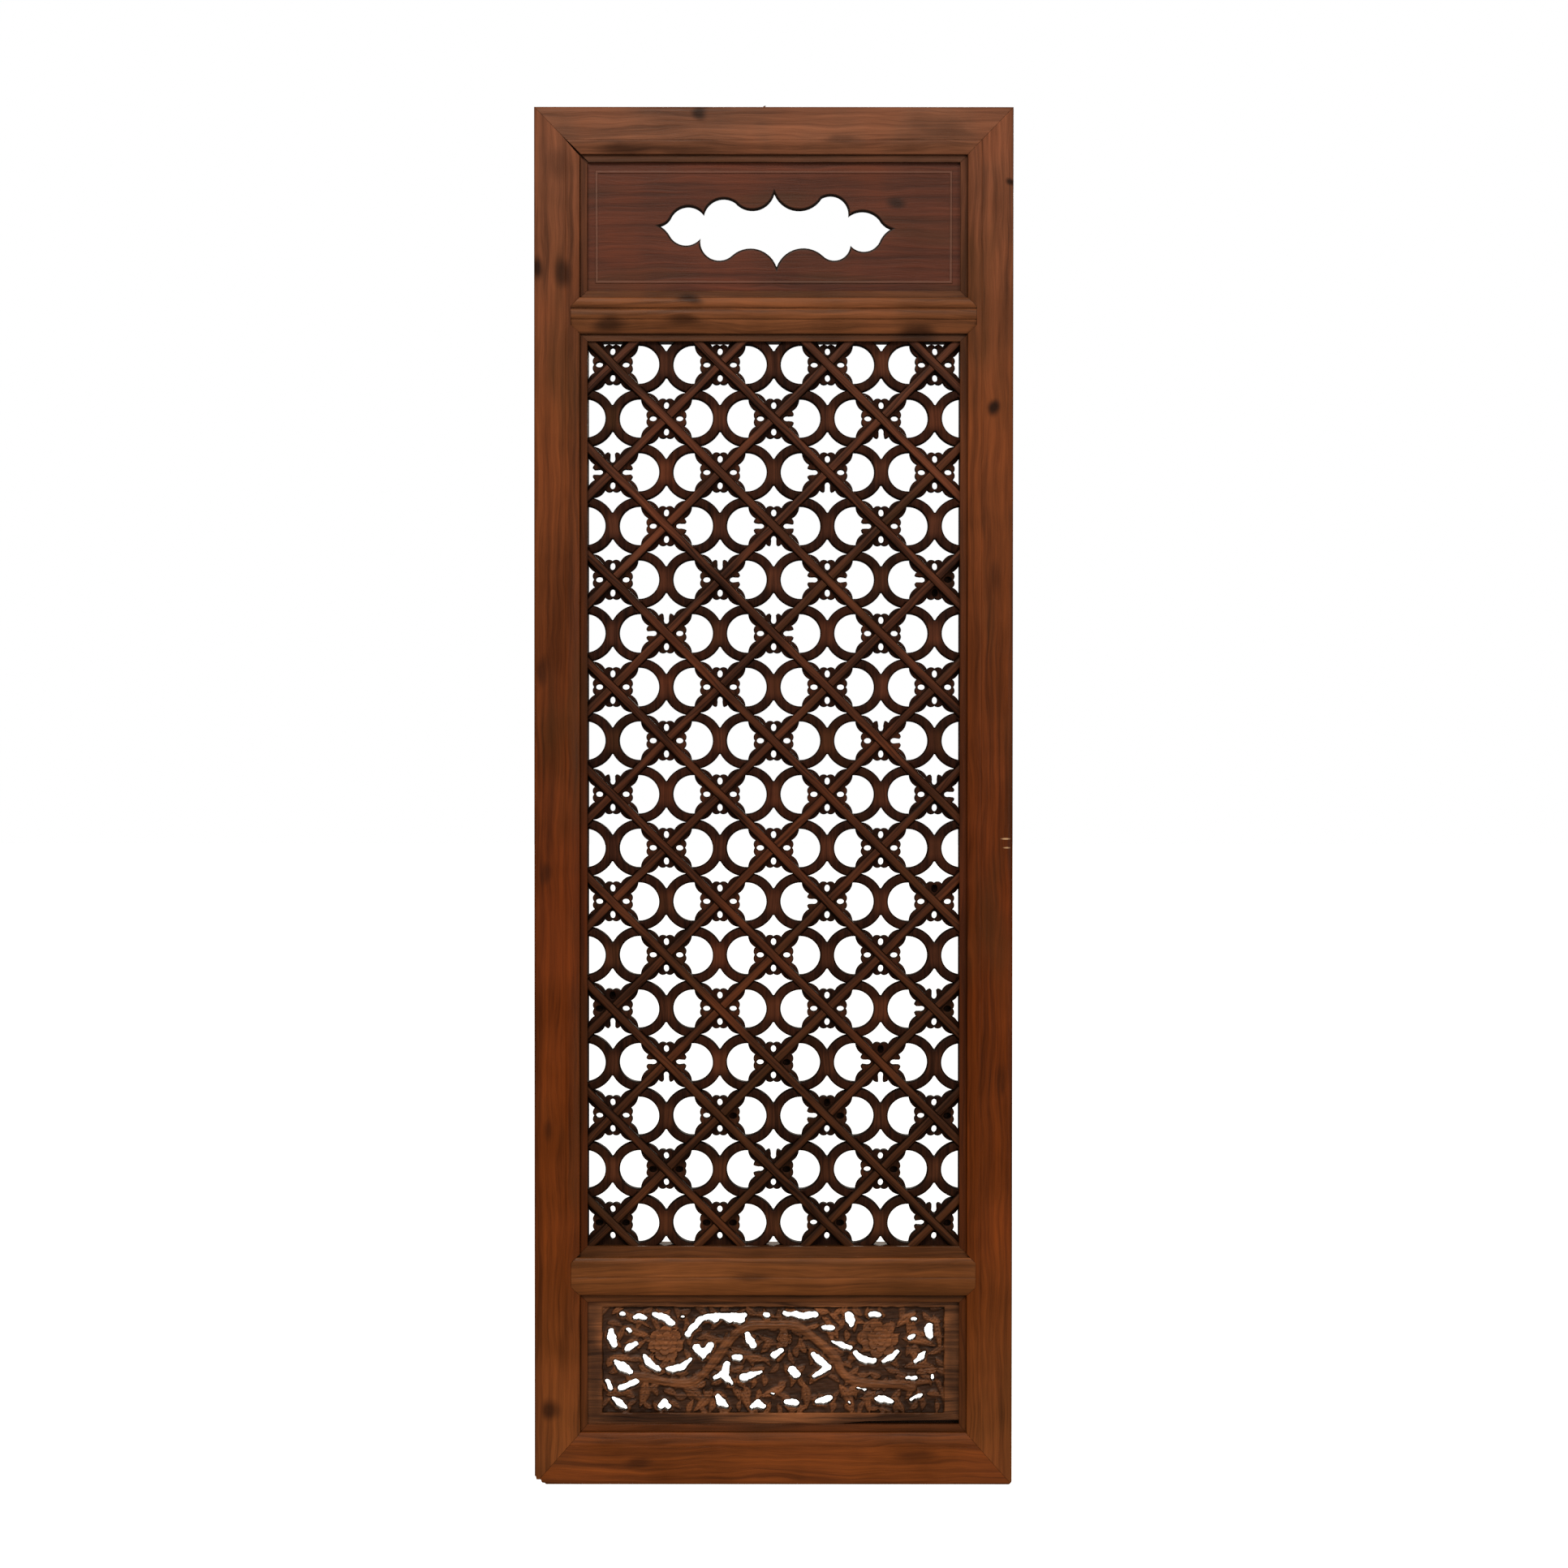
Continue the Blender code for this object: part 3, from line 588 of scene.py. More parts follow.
# Each opening sawn through the ground is a path of (x, z, width)
OPENINGS = [
    [(-139, 43.3, 5), (-137, 43.6, 5.5)],
    [(-126, 40.5, 5.5), (-122, 41.5, 7.5), (-117, 40, 5)],
    [(-109, 43, 5), (-103, 41.5, 9), (-97, 39.5, 8), (-93, 35.5, 8)],
    [(-83.5, 41, 3.5), (-82, 41, 3.5)],
    [(-78, 25, 6.5), (-73.5, 31, 7.5), (-66, 39, 7), (-58, 41.5, 7), (-26, 42.5, 6)],
    [(-56, 40, 7), (-53, 38.5, 7.5)],
    [(-43, 40, 7), (-40, 38.5, 8)],
    [(-34, 39.5, 8), (-30, 38, 8.5)],
    [(-148.5, 28, 6), (-147.5, 22, 10), (-145.5, 15.5, 7.5)],
    [(-132, 30, 5.5), (-130.5, 27.5, 5)],
    [(-134, 10.5, 5), (-130, 14, 8.5), (-125.5, 16.5, 5.5)],
    [(-144, 0.5, 5), (-138.5, -4, 11), (-131, -9, 7)],
    [(-118, 6, 4), (-114.5, 0, 9), (-105, -7, 6.5)],
    [(-97, -6.5, 5), (-91, -6.5, 8.5), (-83, -5, 7.5), (-75.5, 2.5, 4)],
    [(-70, 12.5, 9), (-64, 5, 6), (-57.5, 14.5, 8.5)],
    [(-66, 10, 6), (-61, 10.5, 6)],
    [(-23.5, 25, 6), (-21.5, 20, 9), (-18.5, 15.5, 8)],
    [(-35.5, 4, 6.5), (-31, 3.5, 8)],
    [(-42, -1.5, 6), (-44, -10, 9), (-53, -14.5, 5)],
    [(-45, -12, 9), (-38, -20.5, 5)],
    [(-28, -14.5, 8), (-21, -12.5, 8.5), (-11.5, -9.5, 4.5)],
    [(1, 6, 8), (7.5, 10, 6)],
    [(-151, -18.5, 6), (-148.5, -24.5, 5.5)],
    [(-139, -23.5, 7.5), (-132, -21.5, 7), (-126, -18.5, 8)],
    [(-146, -33.5, 5), (-140, -38, 8), (-135, -42.5, 4.5)],
    [(-103, -41, 6), (-99.5, -37.5, 8), (-95.5, -41, 6)],
    [(-50.5, -31.5, 6), (-47.5, -37, 9), (-43, -40.5, 5)],
    [(-19.5, -41.5, 5), (-14.5, -38, 8), (-9, -41, 6)],
    [(-0.9, -29, 4), (0.3, -29.5, 4)],
    [(12.5, -36.5, 7), (20, -37.5, 8)],
    [(-7, 42.8, 6), (-5, 42.8, 6.5)],
    [(10.5, 44, 5.5), (19, 43.5, 6.5), (27, 42, 8.5), (38, 43, 7)],
    [(46.5, 31.5, 6), (53.5, 31, 7)],
    [(69, 42.5, 9), (70.5, 38, 10), (71.5, 34, 6)],
    [(89.5, 43.5, 7), (96, 43, 6.5)],
    [(127, 39, 5), (129, 39, 5)],
    [(142.5, 33, 7), (141.5, 28.5, 9.5), (143, 23.5, 7)],
    [(124.5, 21.5, 5.5), (127.5, 23.5, 6)],
    [(54, 18.5, 3.5), (62, 15, 7), (70, 13, 6)],
    [(36.5, 7, 6), (42, 1.5, 9), (50.5, -5.5, 7)],
    [(49, -5.5, 8), (38, -13, 5.5)],
    [(17, -7.5, 9), (21, -11.5, 9)],
    [(75.5, 8.5, 6), (80, 2.5, 8), (92, 0.5, 6.5)],
    [(100.5, 0.5, 5), (106.5, 3.5, 8), (113, 9, 5.5)],
    [(130, 0.5, 5), (134.5, 4.5, 8), (138, 9, 4)],
    [(122, -14.5, 4), (129, -15, 6)],
    [(145, -12, 3.5), (145.5, -15, 4)],
    [(40, -36.5, 5.5), (46, -35, 8.5), (52, -33, 6.5)],
    [(69, -36.5, 3), (70, -38, 3)],
    [(77, -23.5, 3), (83.5, -25.5, 4)],
    [(94.5, -33.5, 6.5), (101, -34.5, 8.5), (108, -36, 5.5)],
    [(125.5, -34.5, 4), (134, -30.5, 5.5)],
]
grid_step = 0.8
opening_trim = 0.62
lower_bay_half = (lower_bay_top - lower_bay_bottom) / 2
field_half_length = (bay_half - carving_margin_side) / MM
field_top = (lower_bay_half - carving_margin_top) / MM
field_bottom = -(lower_bay_half - carving_margin_bottom) / MM
full_rise = carving_rise / MM


def smooth_path(points, steps=6):
    """Points of a smooth curve through those given."""
    path = []
    for index in range(len(points) - 1):
        before = points[max(index - 1, 0)]
        start, end = points[index], points[index + 1]
        after = points[min(index + 2, len(points) - 1)]
        for step in range(steps):
            t = step / steps
            path.append(tuple(
                0.5 * (2 * b + (c - a) * t + (2 * a - 5 * b + 4 * c - d) * t * t
                       + (3 * b - a - 3 * c + d) * t ** 3)
                for a, b, c, d in zip(before, start, end, after)
            ))
    path.append(points[-1])
    return path


def distance_to_path(x, z, path):
    """Distance of each grid point from a path of (x, z, width), and how far along it the nearest point is."""
    best = np.full(x.shape, 1e9)
    along = np.zeros(x.shape)
    travelled = 0.0
    for (x0, z0, width0), (x1, z1, width1) in zip(path, path[1:]):
        run = hypot(x1 - x0, z1 - z0)
        t = np.clip(((x - x0) * (x1 - x0) + (z - z0) * (z1 - z0)) / run ** 2, 0, 1)
        distance = np.hypot(x - x0 - t * (x1 - x0), z - z0 - t * (z1 - z0))
        distance = distance - (width0 + (width1 - width0) * t) / 2
        nearer = distance < best
        best = np.where(nearer, distance, best)
        along = np.where(nearer, travelled + t * run, along)
        travelled += run
    return best, along


def ripple(x, z, size, seed):
    """A smooth uneven surface between -1 and 1, the sum of a few crossing waves."""
    chance = Random(seed)
    total = np.zeros(x.shape)
    for wave in range(7):
        angle = chance.uniform(0, 2 * pi)
        length = size * chance.uniform(0.6, 1.7)
        phase = chance.uniform(0, 2 * pi)
        total += np.sin((x * cos(angle) + z * sin(angle)) * 2 * pi / length + phase)
    return total / 4


def hole_distance(x, z):
    """Distance from the sawn openings, negative inside them, with a hand-cut outline."""
    best = np.full(x.shape, 1e9)
    for path in OPENINGS:
        best = np.minimum(best, distance_to_path(x, z, path)[0])
    return best + opening_trim + 0.55 * ripple(x, z, 6.5, 3) + 0.3 * ripple(x, z, 3.2, 4)


def leaf_height(x, z, root, tip, width):
    """A pointed leaf, rounded across, with a sunk mid-rib and side veins."""
    run = hypot(tip[0] - root[0], tip[1] - root[1])
    along_x, along_z = (tip[0] - root[0]) / run, (tip[1] - root[1]) / run
    a = ((x - root[0]) * along_x + (z - root[1]) * along_z) / run
    b = (z - root[1]) * along_x - (x - root[0]) * along_z - 1.6 * np.sin(pi * np.clip(a, 0, 1))
    half = width / 2 * np.sin(pi * np.clip(a, 0, 1) ** 0.8)
    inside = np.clip(1 - (b / np.maximum(half, 0.01)) ** 2, 0, 1)
    body = 2.7 * np.sqrt(inside)
    rib = 0.8 * np.exp(-(b / 0.55) ** 2)
    veins = 0.28 * np.sin((a * run - np.abs(b) * 0.9) * 2 * pi / 3.2)
    return np.where((a > 0) & (a < 1) & (inside > 0), body - rib + veins * inside, 0)


def foliage(x, z):
    """Small leaves packed over the whole field, each turned its own way."""
    chance = Random(8)
    rows, columns = 9, 26
    pitch_x, pitch_z = 2 * field_half_length / columns, (field_top - field_bottom) / rows
    height = np.zeros(x.shape)
    for place in range(rows * columns):
        row, column = divmod(place, columns)
        middle_x = (column + 0.5 + 0.5 * (row % 2) + chance.uniform(-0.3, 0.3)) * pitch_x - field_half_length
        middle_z = (row + 0.5 + chance.uniform(-0.3, 0.3)) * pitch_z + field_bottom
        turn = chance.uniform(0, 2 * pi)
        reach = chance.uniform(5.5, 8.5)
        root = (middle_x - reach * cos(turn), middle_z - reach * sin(turn))
        tip = (middle_x + reach * cos(turn), middle_z + reach * sin(turn))
        leaf = leaf_height(x, z, root, tip, chance.uniform(5.5, 8)) * chance.uniform(0.7, 1.0)
        height = np.maximum(height, leaf)
    return height


def flower_height(x, z, centre, radius, turn):
    """A full flower head: an outer and an inner row of cupped petals round a bud."""
    dx, dz = x - centre[0], z - centre[1]
    r = np.hypot(dx, dz)
    angle = np.arctan2(dz, dx) + turn
    height = np.zeros(x.shape)
    for reach, petals, phase, low, lift in FLOWER_ROWS:
        wave = np.abs(np.cos((angle + phase) * petals / 2))
        edge = radius * reach * (0.76 + 0.24 * wave ** 0.6)
        cup = low + lift * (r / edge) ** 2
        split = 0.9 * np.exp(-(wave / 0.16) ** 2) * (r / edge)
        lines = 0.16 * np.sin(angle * petals * 5) * (r / edge)
        petal = np.where(r < edge, cup - split + lines - 0.9 * np.exp(-np.abs(edge - r) / 0.35), 0)
        height = np.where(r < edge, petal, height)
    bud = 3.4 * np.sqrt(np.clip(1 - (r / (radius * 0.17)) ** 2, 0, 1))
    return np.maximum(height, bud)


def relief_height(x, z, holes):
    """Height of the carving over its ground."""
    ground = 0.45 + 0.25 * ripple(x, z, 5, 11) + 0.12 * ripple(x, z, 1.9, 12)
    rim = 1.1 * np.exp(-((holes - 1.6) / 1.2) ** 2)
    height = np.maximum(ground, foliage(x, z)) + rim * (0.7 + 0.35 * ripple(x, z, 9, 13))
    for root, tip, width in LEAVES:
        height = np.maximum(height, leaf_height(x, z, root, tip, width))
    across, along = distance_to_path(x, z, smooth_path([(*point, 0) for point in VINE]))
    half = 4.8 + 0.5 * np.sin(along / 6.5)
    stem = 3.1 * np.sqrt(np.clip(1 - (across / half) ** 2, 0, 1))
    stem = stem - 0.55 * np.exp(-((across - 1.7) / 0.45) ** 2)
    height = np.where(across < half, np.maximum(height, stem + 0.2 * np.sin(along / 1.5)), height)
    for centre, radius, turn in FLOWERS:
        height = np.maximum(height, flower_height(x, z, centre, radius, turn))
    return np.clip(height, 0.1, full_rise)


def board_depth(x, z, holes):
    """Depth of the board's front behind its seat, in metres."""
    inside = np.minimum(field_half_length - np.abs(x), np.minimum(field_top - z, z - field_bottom))
    inside = inside + 0.25 * ripple(x, z, 14, 21)
    step = np.clip(inside / 0.9, 0, 1)
    step = step * step * (3 - 2 * step)
    carved = full_rise - relief_height(x, z, holes)
    depth = carved * step + 0.06 * (1 - step) * ripple(x, z, 6, 5)
    rounding = 0.9
    fall = np.clip(1 - np.clip(holes, 0, rounding) / rounding, 0, 1)
    depth = depth + rounding * (1 - np.sqrt(np.clip(1 - fall * fall, 0, 1)))
    return np.maximum(depth, 0) * MM


def snap_to_openings(x, z):
    """Move the grid points beside an opening onto its edge. Returns the distances and the moved points."""
    reach = 0.001
    holes = hole_distance(x, z)
    slope_x = (hole_distance(x + reach, z) - hole_distance(x - reach, z)) / (2 * reach)
    slope_z = (hole_distance(x, z + reach) - hole_distance(x, z - reach)) / (2 * reach)
    steep = np.maximum(slope_x ** 2 + slope_z ** 2, 0.05)
    near = np.abs(holes) < grid_step * 0.5
    x = np.where(near, x - holes * slope_x / steep, x)
    z = np.where(near, z - holes * slope_z / steep, z)
    return x, z, np.where(near, 0.0, holes), near


def board_triangles(columns, rows, holes, near):
    """Triangles of the grid that lie on wood, each square split so that no triangle crosses an edge."""
    index = np.arange(columns * rows).reshape(rows, columns)
    a, b = index[:-1, :-1].ravel(), index[:-1, 1:].ravel()
    c, d = index[1:, 1:].ravel(), index[1:, :-1].ravel()
    sign = np.where(near, 0, np.sign(holes)).ravel()
    split = (sign[a] * sign[c] < 0) | ((sign[b] == 0) & (sign[d] == 0) & (sign[a] != sign[c]))
    first = np.where(split[:, None], np.stack((a, b, d), 1), np.stack((a, b, c), 1))
    second = np.where(split[:, None], np.stack((b, c, d), 1), np.stack((a, c, d), 1))
    triangles = np.concatenate((first, second))
    total = sign[triangles].sum(1)
    return triangles[total > 0]


def close_board(triangles, front_points, back_y):
    """Wall the triangles' open edges back to a flat back, and fill the back."""
    shape = bmesh.new()
    used = np.unique(triangles)
    made = {old: shape.verts.new(front_points[old]) for old in used}
    for triangle in triangles:
        shape.faces.new([made[corner] for corner in triangle])
    keep_largest(shape)
    rim = [edge for edge in shape.edges if len(edge.link_faces) == 1]
    swept = bmesh.ops.extrude_edge_only(shape, edges=rim)["geom"]
    for vertex in swept:
        if isinstance(vertex, bmesh.types.BMVert):
            vertex.co.y = back_y
    back_rim = [
        edge for edge in swept
        if isinstance(edge, bmesh.types.BMEdge) and all(abs(v.co.y - back_y) < 1e-7 for v in edge.verts)
    ]
    bmesh.ops.triangle_fill(shape, use_beauty=True, use_dissolve=False, edges=back_rim)
    bmesh.ops.recalc_face_normals(shape, faces=shape.faces)
    return shape


def keep_largest(shape):
    """Drop the slivers that hang on nothing, such as a tip left inside an opening."""
    waiting = set(shape.verts)
    groups = []
    while waiting:
        start = waiting.pop()
        group, edge_of = {start}, [start]
        while edge_of:
            vertex = edge_of.pop()
            for edge in vertex.link_edges:
                other = edge.other_vert(vertex)
                if other in waiting:
                    waiting.discard(other)
                    group.add(other)
                    edge_of.append(other)
        groups.append(group)
    largest = max(groups, key=len)
    loose = [vertex for vertex in shape.verts if vertex not in largest]
    bmesh.ops.delete(shape, geom=loose, context="VERTS")


def make_lower_board(finishes):
    side = (bay_half + seat_depth / 2) / MM
    end = lower_bay_half / MM + seat_depth / 2 / MM
    columns = int(2 * side / grid_step) + 1
    rows = int(2 * end / grid_step) + 1
    x, z = np.meshgrid(np.linspace(-side, side, columns), np.linspace(-end, end, rows))
    x, z, holes, near = snap_to_openings(x, z)
    depth = board_depth(x, z, holes)
    points = np.stack((x * MM, seat_front + depth, lower_bay_middle + z * MM), -1).reshape(-1, 3)
    triangles = board_triangles(columns, rows, holes, near)
    shape = close_board(triangles, points, seat_front + board_thickness)
    mesh = bpy.data.meshes.new("board_lower_wood")
    shape.to_mesh(mesh)
    shape.free()
    board = add_object("board_lower_wood", mesh)
    cut_shrinkage(board)
    finish_piece(board, finishes["carving"], ["board_lower"], carving_edge_angle)


def cut_shrinkage(board):
    """The front shoulder has drawn up from the bottom rail towards the right."""
    low = lower_bay_bottom - seat_depth
    side = bay_half + seat_depth
    wedge = [
        (shrinkage_start, low - OVERSHOOT),
        (side + OVERSHOOT, low - OVERSHOOT),
        (side + OVERSHOOT, lower_bay_bottom + shrinkage_gap),
        (shrinkage_knee, lower_bay_bottom + shrinkage_gap * 0.62),
        (shrinkage_start, lower_bay_bottom - seam),
    ]
    combine(board, plate("wedge", [wedge], front, seat_front + shrinkage_depth), "DIFFERENCE")


# Lattice

def bar_section(width, y_front, y_back):
    """Section of a lattice bar as (across, y): a low crown, rounded arrises and a plain back."""
    half = width / 2
    fronts = [(-half, 0.0019), (-half + 0.0005, 0.0009), (-half + 0.0014, 0.0002), (-half / 3, 0.0)]
    points = [(across, y_front + drop) for across, drop in fronts]
    points += [(-across, y) for across, y in reversed(points)]
    points += [(half, y_back - bar_arris), (half - bar_arris, y_back)]
    return points + [(-half + bar_arris, y_back), (-half, y_back - bar_arris)]


def make_bar(name, sign, number, finish):
    """One diagonal bar, half lapped at each crossing: a falling bar shows whole at the front."""
    along = Vector((run_x, 0, sign * run_z))
    across = Vector((-sign * run_z, 0, run_x))
    foot = Vector((number * column_pitch / 2, 0, lattice_middle - sign * number * row_pitch / 2))
    side = bay_half + seat_depth / 2
    end = lattice_half_height + seat_depth / 2
    seed = number + 50 * sign

    def reach_of(offset, way):
        """How far the line at this offset runs before it meets the edge of the bay."""
        start = foot + across * offset
        to_side = (way * side - start.x) / along.x
        to_end = (sign * way * end - (start.z - lattice_middle)) / along.z
        return min(to_side, to_end) if way > 0 else max(to_side, to_end)

    lap = seat_front + cover_depth
    section = bar_section(bar_width, seat_front, seat_front + bar_depth)
    places = [
        (column - number / 2) * bar_run for column in range(-lattice_columns, lattice_columns + 1)
        if abs((column - number) * sign) <= lattice_rows
    ]
    half_lap = bar_width / 2 + seam / 2
    stations = [("low", None)]
    for place in places:
        stations += [(place - half_lap, False), (place - half_lap, True)]
        stations += [(place + half_lap, True), (place + half_lap, False)]
        stations += [(place + bar_run * share, False) for share in (0.3, 0.5, 0.7)]
    stations.append(("high", None))
    low_limit, high_limit = reach_of(0, -1) + bar_end_clear, reach_of(0, 1) - bar_end_clear
    rings = []
    for at, lapped in stations:
        if not isinstance(at, str) and not low_limit < at < high_limit:
            continue
        ring = []
        for offset, y in section:
            s = reach_of(offset, -1) if at == "low" else reach_of(offset, 1) if at == "high" else at
            if lapped and sign > 0:
                y = max(y, lap + seam / 2)
            if lapped and sign < 0:
                y = min(y, lap - seam / 2)
            waver = noise.noise(Vector((s * 22, offset * 90, seed))) * bar_waver
            ring.append(foot + along * s + across * (offset + waver) + Vector((0, y, 0)))
        rings.append(ring)
    bar = skin(f"{name}_wood", rings)
    return finish_piece(bar, finish, [name])


# Rosette petals by crossing, as (column, row) from the middle: webs broken open, and eyes that are blind
BROKEN = {
    (0, 7): "R", (2, 7): "B", (-3, 6): "RLT", (1, 6): "LB", (-2, 5): "R", (0, 5): "LRB", (2, 5): "L",
    (-1, 4): "RT", (1, 4): "RL", (3, 4): "L", (-2, 3): "LT", (0, 3): "RT", (-1, 2): "B", (2, 1): "RT",
    (3, 0): "RT", (-3, 0): "T", (1, -2): "L", (-3, -4): "B", (3, -4): "LT", (-2, -5): "RLB",
    (2, -5): "LRB", (1, -6): "L", (0, -7): "LT", (3, -8): "LT",
}
BLIND = {
    (3, 4): "RB", (3, -2): "T", (-3, -4): "LT", (3, -4): "R", (0, -5): "R", (2, -5): "T", (-1, -6): "R",
    (1, -6): "RT", (3, -6): "R", (-2, -7): "RL", (0, -7): "R", (2, -7): "R", (-3, -8): "RL",
    (-1, -8): "RL", (1, -8): "R", (3, -8): "R",
}
PETAL_TURNS = {"R": 0, "T": pi / 2, "L": pi, "B": -pi / 2}
# A petal in millimetres: distances from its axis and from the crossing
petal_dip = (0, 17.0)
petal_cusp = (7.0, 16.3)
petal_tip = (17.3, 23.2)
petal_root = (19.0, 22.2)
petal_heel = (0, 3.4)
eye_centre, eye_half_width, eye_half_length = 12.1, 2.4, 3.25


def petal_side():
    """Half of a petal's outline, from its axis to the bar: two lobes and the side let into the bar."""
    points = arc(petal_dip, petal_cusp, 1.6, 6)
    points += arc(petal_cusp, petal_tip, 1.7, 9)
    return points + [petal_tip, petal_root]


def eye_outline():
    steps = 16
    turns = [2 * pi * step / steps for step in range(steps)]
    return [(eye_half_width * cos(turn), eye_centre + eye_half_length * sin(turn)) for turn in turns]


def petal_outlines(kind, chance):
    """Outlines of one petal: whole with its eye, or with its web broken out."""
    half = petal_side()
    if kind == "tucked":
        half = [petal_tip, petal_root]
    if kind != "broken":
        left = [(-v, u) for v, u in half if v]
        solid = [petal_heel, *half[::-1], *left]
        return [solid, eye_outline()[::-1]]
    gape = chance.uniform(1.9, 2.7)
    right = [(v, u) for v, u in half if v > gape + 0.4]
    left = [(-v, u) for v, u in half if v > gape + chance.uniform(0.2, 0.9)]
    bay = [point for point in eye_outline() if point[1] < eye_centre + 1.5]
    bay.sort(key=lambda point: atan2(point[1] - eye_centre - 1.5, point[0]))
    torn_right = (gape + chance.uniform(-0.5, 0.3), 17.0 + chance.uniform(-0.5, 0.4))
    torn_left = (-gape + chance.uniform(-0.3, 0.5), 16.8 + chance.uniform(-0.5, 0.5))
    return [[petal_heel, *right[::-1], torn_right, *bay[::-1], torn_left, *left]]


def placed(outline, column, row, turn):
    """A petal's outline (from axis, from crossing) in millimetres, put at its crossing."""
    x0 = column * column_pitch
    z0 = lattice_middle + row * row_pitch
    return [
        (x0 + (u * cos(turn) - v * sin(turn)) * MM, z0 + (u * sin(turn) + v * cos(turn)) * MM)
        for v, u in outline
    ]


def petal_kind(column, row, side):
    if row == -lattice_rows and side == "B":
        return "tucked"
    if side in BROKEN.get((column, row), ""):
        return "broken"
    return "blind" if side in BLIND.get((column, row), "") else "whole"


def make_petals(index, crossings, finish):
    chance = Random(index + 100)
    outlines, plugs = [], []
    for column, row in crossings:
        for side, turn in PETAL_TURNS.items():
            kind = petal_kind(column, row, side)
            outlines += [placed(outline, column, row, turn) for outline in petal_outlines(kind, chance)]
            if kind == "blind":
                plugs.append(placed([(v * plug_spread, u) for v, u in eye_outline()], column, row, turn))
    block_front = seat_front + cover_depth
    block_back = seat_front + bar_depth - petal_back
    name = f"petals_{index:02d}"
    petals = plate(name, outlines, block_front + petal_setback, block_back, petal_rounding, 3)
    if plugs:
        middle = (block_front + block_back) / 2
        join(petals, plate("plugs", plugs, middle, middle + plug_depth))
    return finish_piece(petals, finish, [f"bar_rising_{index:02d}"])


def join(piece, other):
    """Put the faces of another object into piece."""
    shape = bmesh.new()
    shape.from_mesh(piece.data)
    shape.from_mesh(other.data)
    shape.to_mesh(piece.data)
    shape.free()
    bpy.data.objects.remove(other, do_unlink=True)


def clip(outline, axis, limit, way):
    """The part of an outline on one side of a line across X (axis 0) or Z (axis 1)."""
    kept = []
    for index, here in enumerate(outline):
        before = outline[index - 1]
        inside, was_inside = way * here[axis] <= way * limit, way * before[axis] <= way * limit
        if inside != was_inside:
            t = (limit - before[axis]) / (here[axis] - before[axis])
            kept.append(tuple(b + (h - b) * t for b, h in zip(before, here)))
        if inside:
            kept.append(here)
    return kept


def scroll_outline(column, row):
    """Two arcs back to back in one cell, with their ends let into the four bars."""
    middle_x = column * column_pitch
    middle_z = lattice_middle + row * row_pitch
    to_bar = cell_reach * (1 - scroll_offset / column_pitch) - bar_width / 2 + scroll_sink
    inner = scroll_inner - scroll_fullness / 4
    outer = scroll_outer + scroll_fullness
    crotch = pi - acos(scroll_offset / outer)
    inner_end = cell_facing + acos(to_bar / inner)
    outer_end = cell_facing + acos(to_bar / outer)

    def place(side, up, radius, angle):
        rise = up * radius * sin(angle) * scroll_flatness
        return (middle_x + side * (scroll_offset + radius * cos(angle)), middle_z + rise)

    def back_of_arc(side, up):
        steps = 9
        end = crotch - scroll_blunt
        return [
            place(side, up, outer, outer_end + (end - outer_end) * step / steps)
            for step in range(steps + 1)
        ]

    outline = []
    for side in (1, -1):
        steps = 26
        for step in range(steps + 1):
            angle = inner_end + (2 * pi - 2 * inner_end) * step / steps
            outline.append(place(side, side, inner, angle))
        outline += back_of_arc(side, -side)
        outline += back_of_arc(-side, -side)[::-1]
    side = bay_half + seat_depth / 2
    end = lattice_half_height + seat_depth / 2
    for axis, middle, reach in ((0, 0, side), (1, lattice_middle, end)):
        for way in (1, -1):
            outline = clip(outline, axis, middle + way * reach, way)
    return outline


def make_scrolls(index, cells, finish):
    outlines = [scroll_outline(column, row) for column, row in cells]
    y_front = seat_front + scroll_inset
    y_back = seat_front + bar_depth - scroll_inset
    scrolls = plate(f"scrolls_{index:02d}", outlines, y_front, y_back, scroll_rounding, 4)
    return finish_piece(scrolls, finish, [f"bar_rising_{index:02d}"])


def make_lattice(finishes):
    last = lattice_columns + lattice_rows - (lattice_columns + lattice_rows + 1) % 2
    numbers = list(range(-last, last + 1, 2))
    crossings = {number: [] for number in numbers}
    cells = {number: [] for number in numbers}
    for column in range(-lattice_columns, lattice_columns + 1):
        for row in range(-lattice_rows, lattice_rows + 1):
            if (column + row) % 2:
                crossings[column - row].append((column, row))
            else:
                host = 1 if column == -lattice_columns else -1
                cells[column - row + host].append((column, row))
    for index, number in enumerate(numbers, 1):
        make_bar(f"bar_rising_{index:02d}", 1, number, finishes["rising"])
        make_bar(f"bar_falling_{index:02d}", -1, number, finishes["falling"])
        make_petals(index, crossings[number], finishes["inlay"])
        if cells[number]:
            make_scrolls(index, cells[number], finishes["inlay"])


def make_nail(finishes):
    """The bent end of a nail that stands out of the top edge."""
    x, y = -0.0093, front / 2
    path = [(0, -0.002), (0, 0.0012), (0.0004, 0.0026), (0.0012, 0.0034)]
    radii = (0.0011, 0.0011, 0.00105, 0.0009)
    sides = 10
    rings = []
    for (lean, rise), radius in zip(path, radii):
        centre = Vector((x + lean, y, panel_top + rise))
        rings.append([
            centre + Vector((radius * cos(2 * pi * side / sides), radius * sin(2 * pi * side / sides), 0))
            for side in range(sides)
        ])
    nail = skin("nail_stub", rings)
    nail.data.shade_smooth()
    nail.data.materials.append(finishes["iron"])
    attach(nail, "root")


# Materials

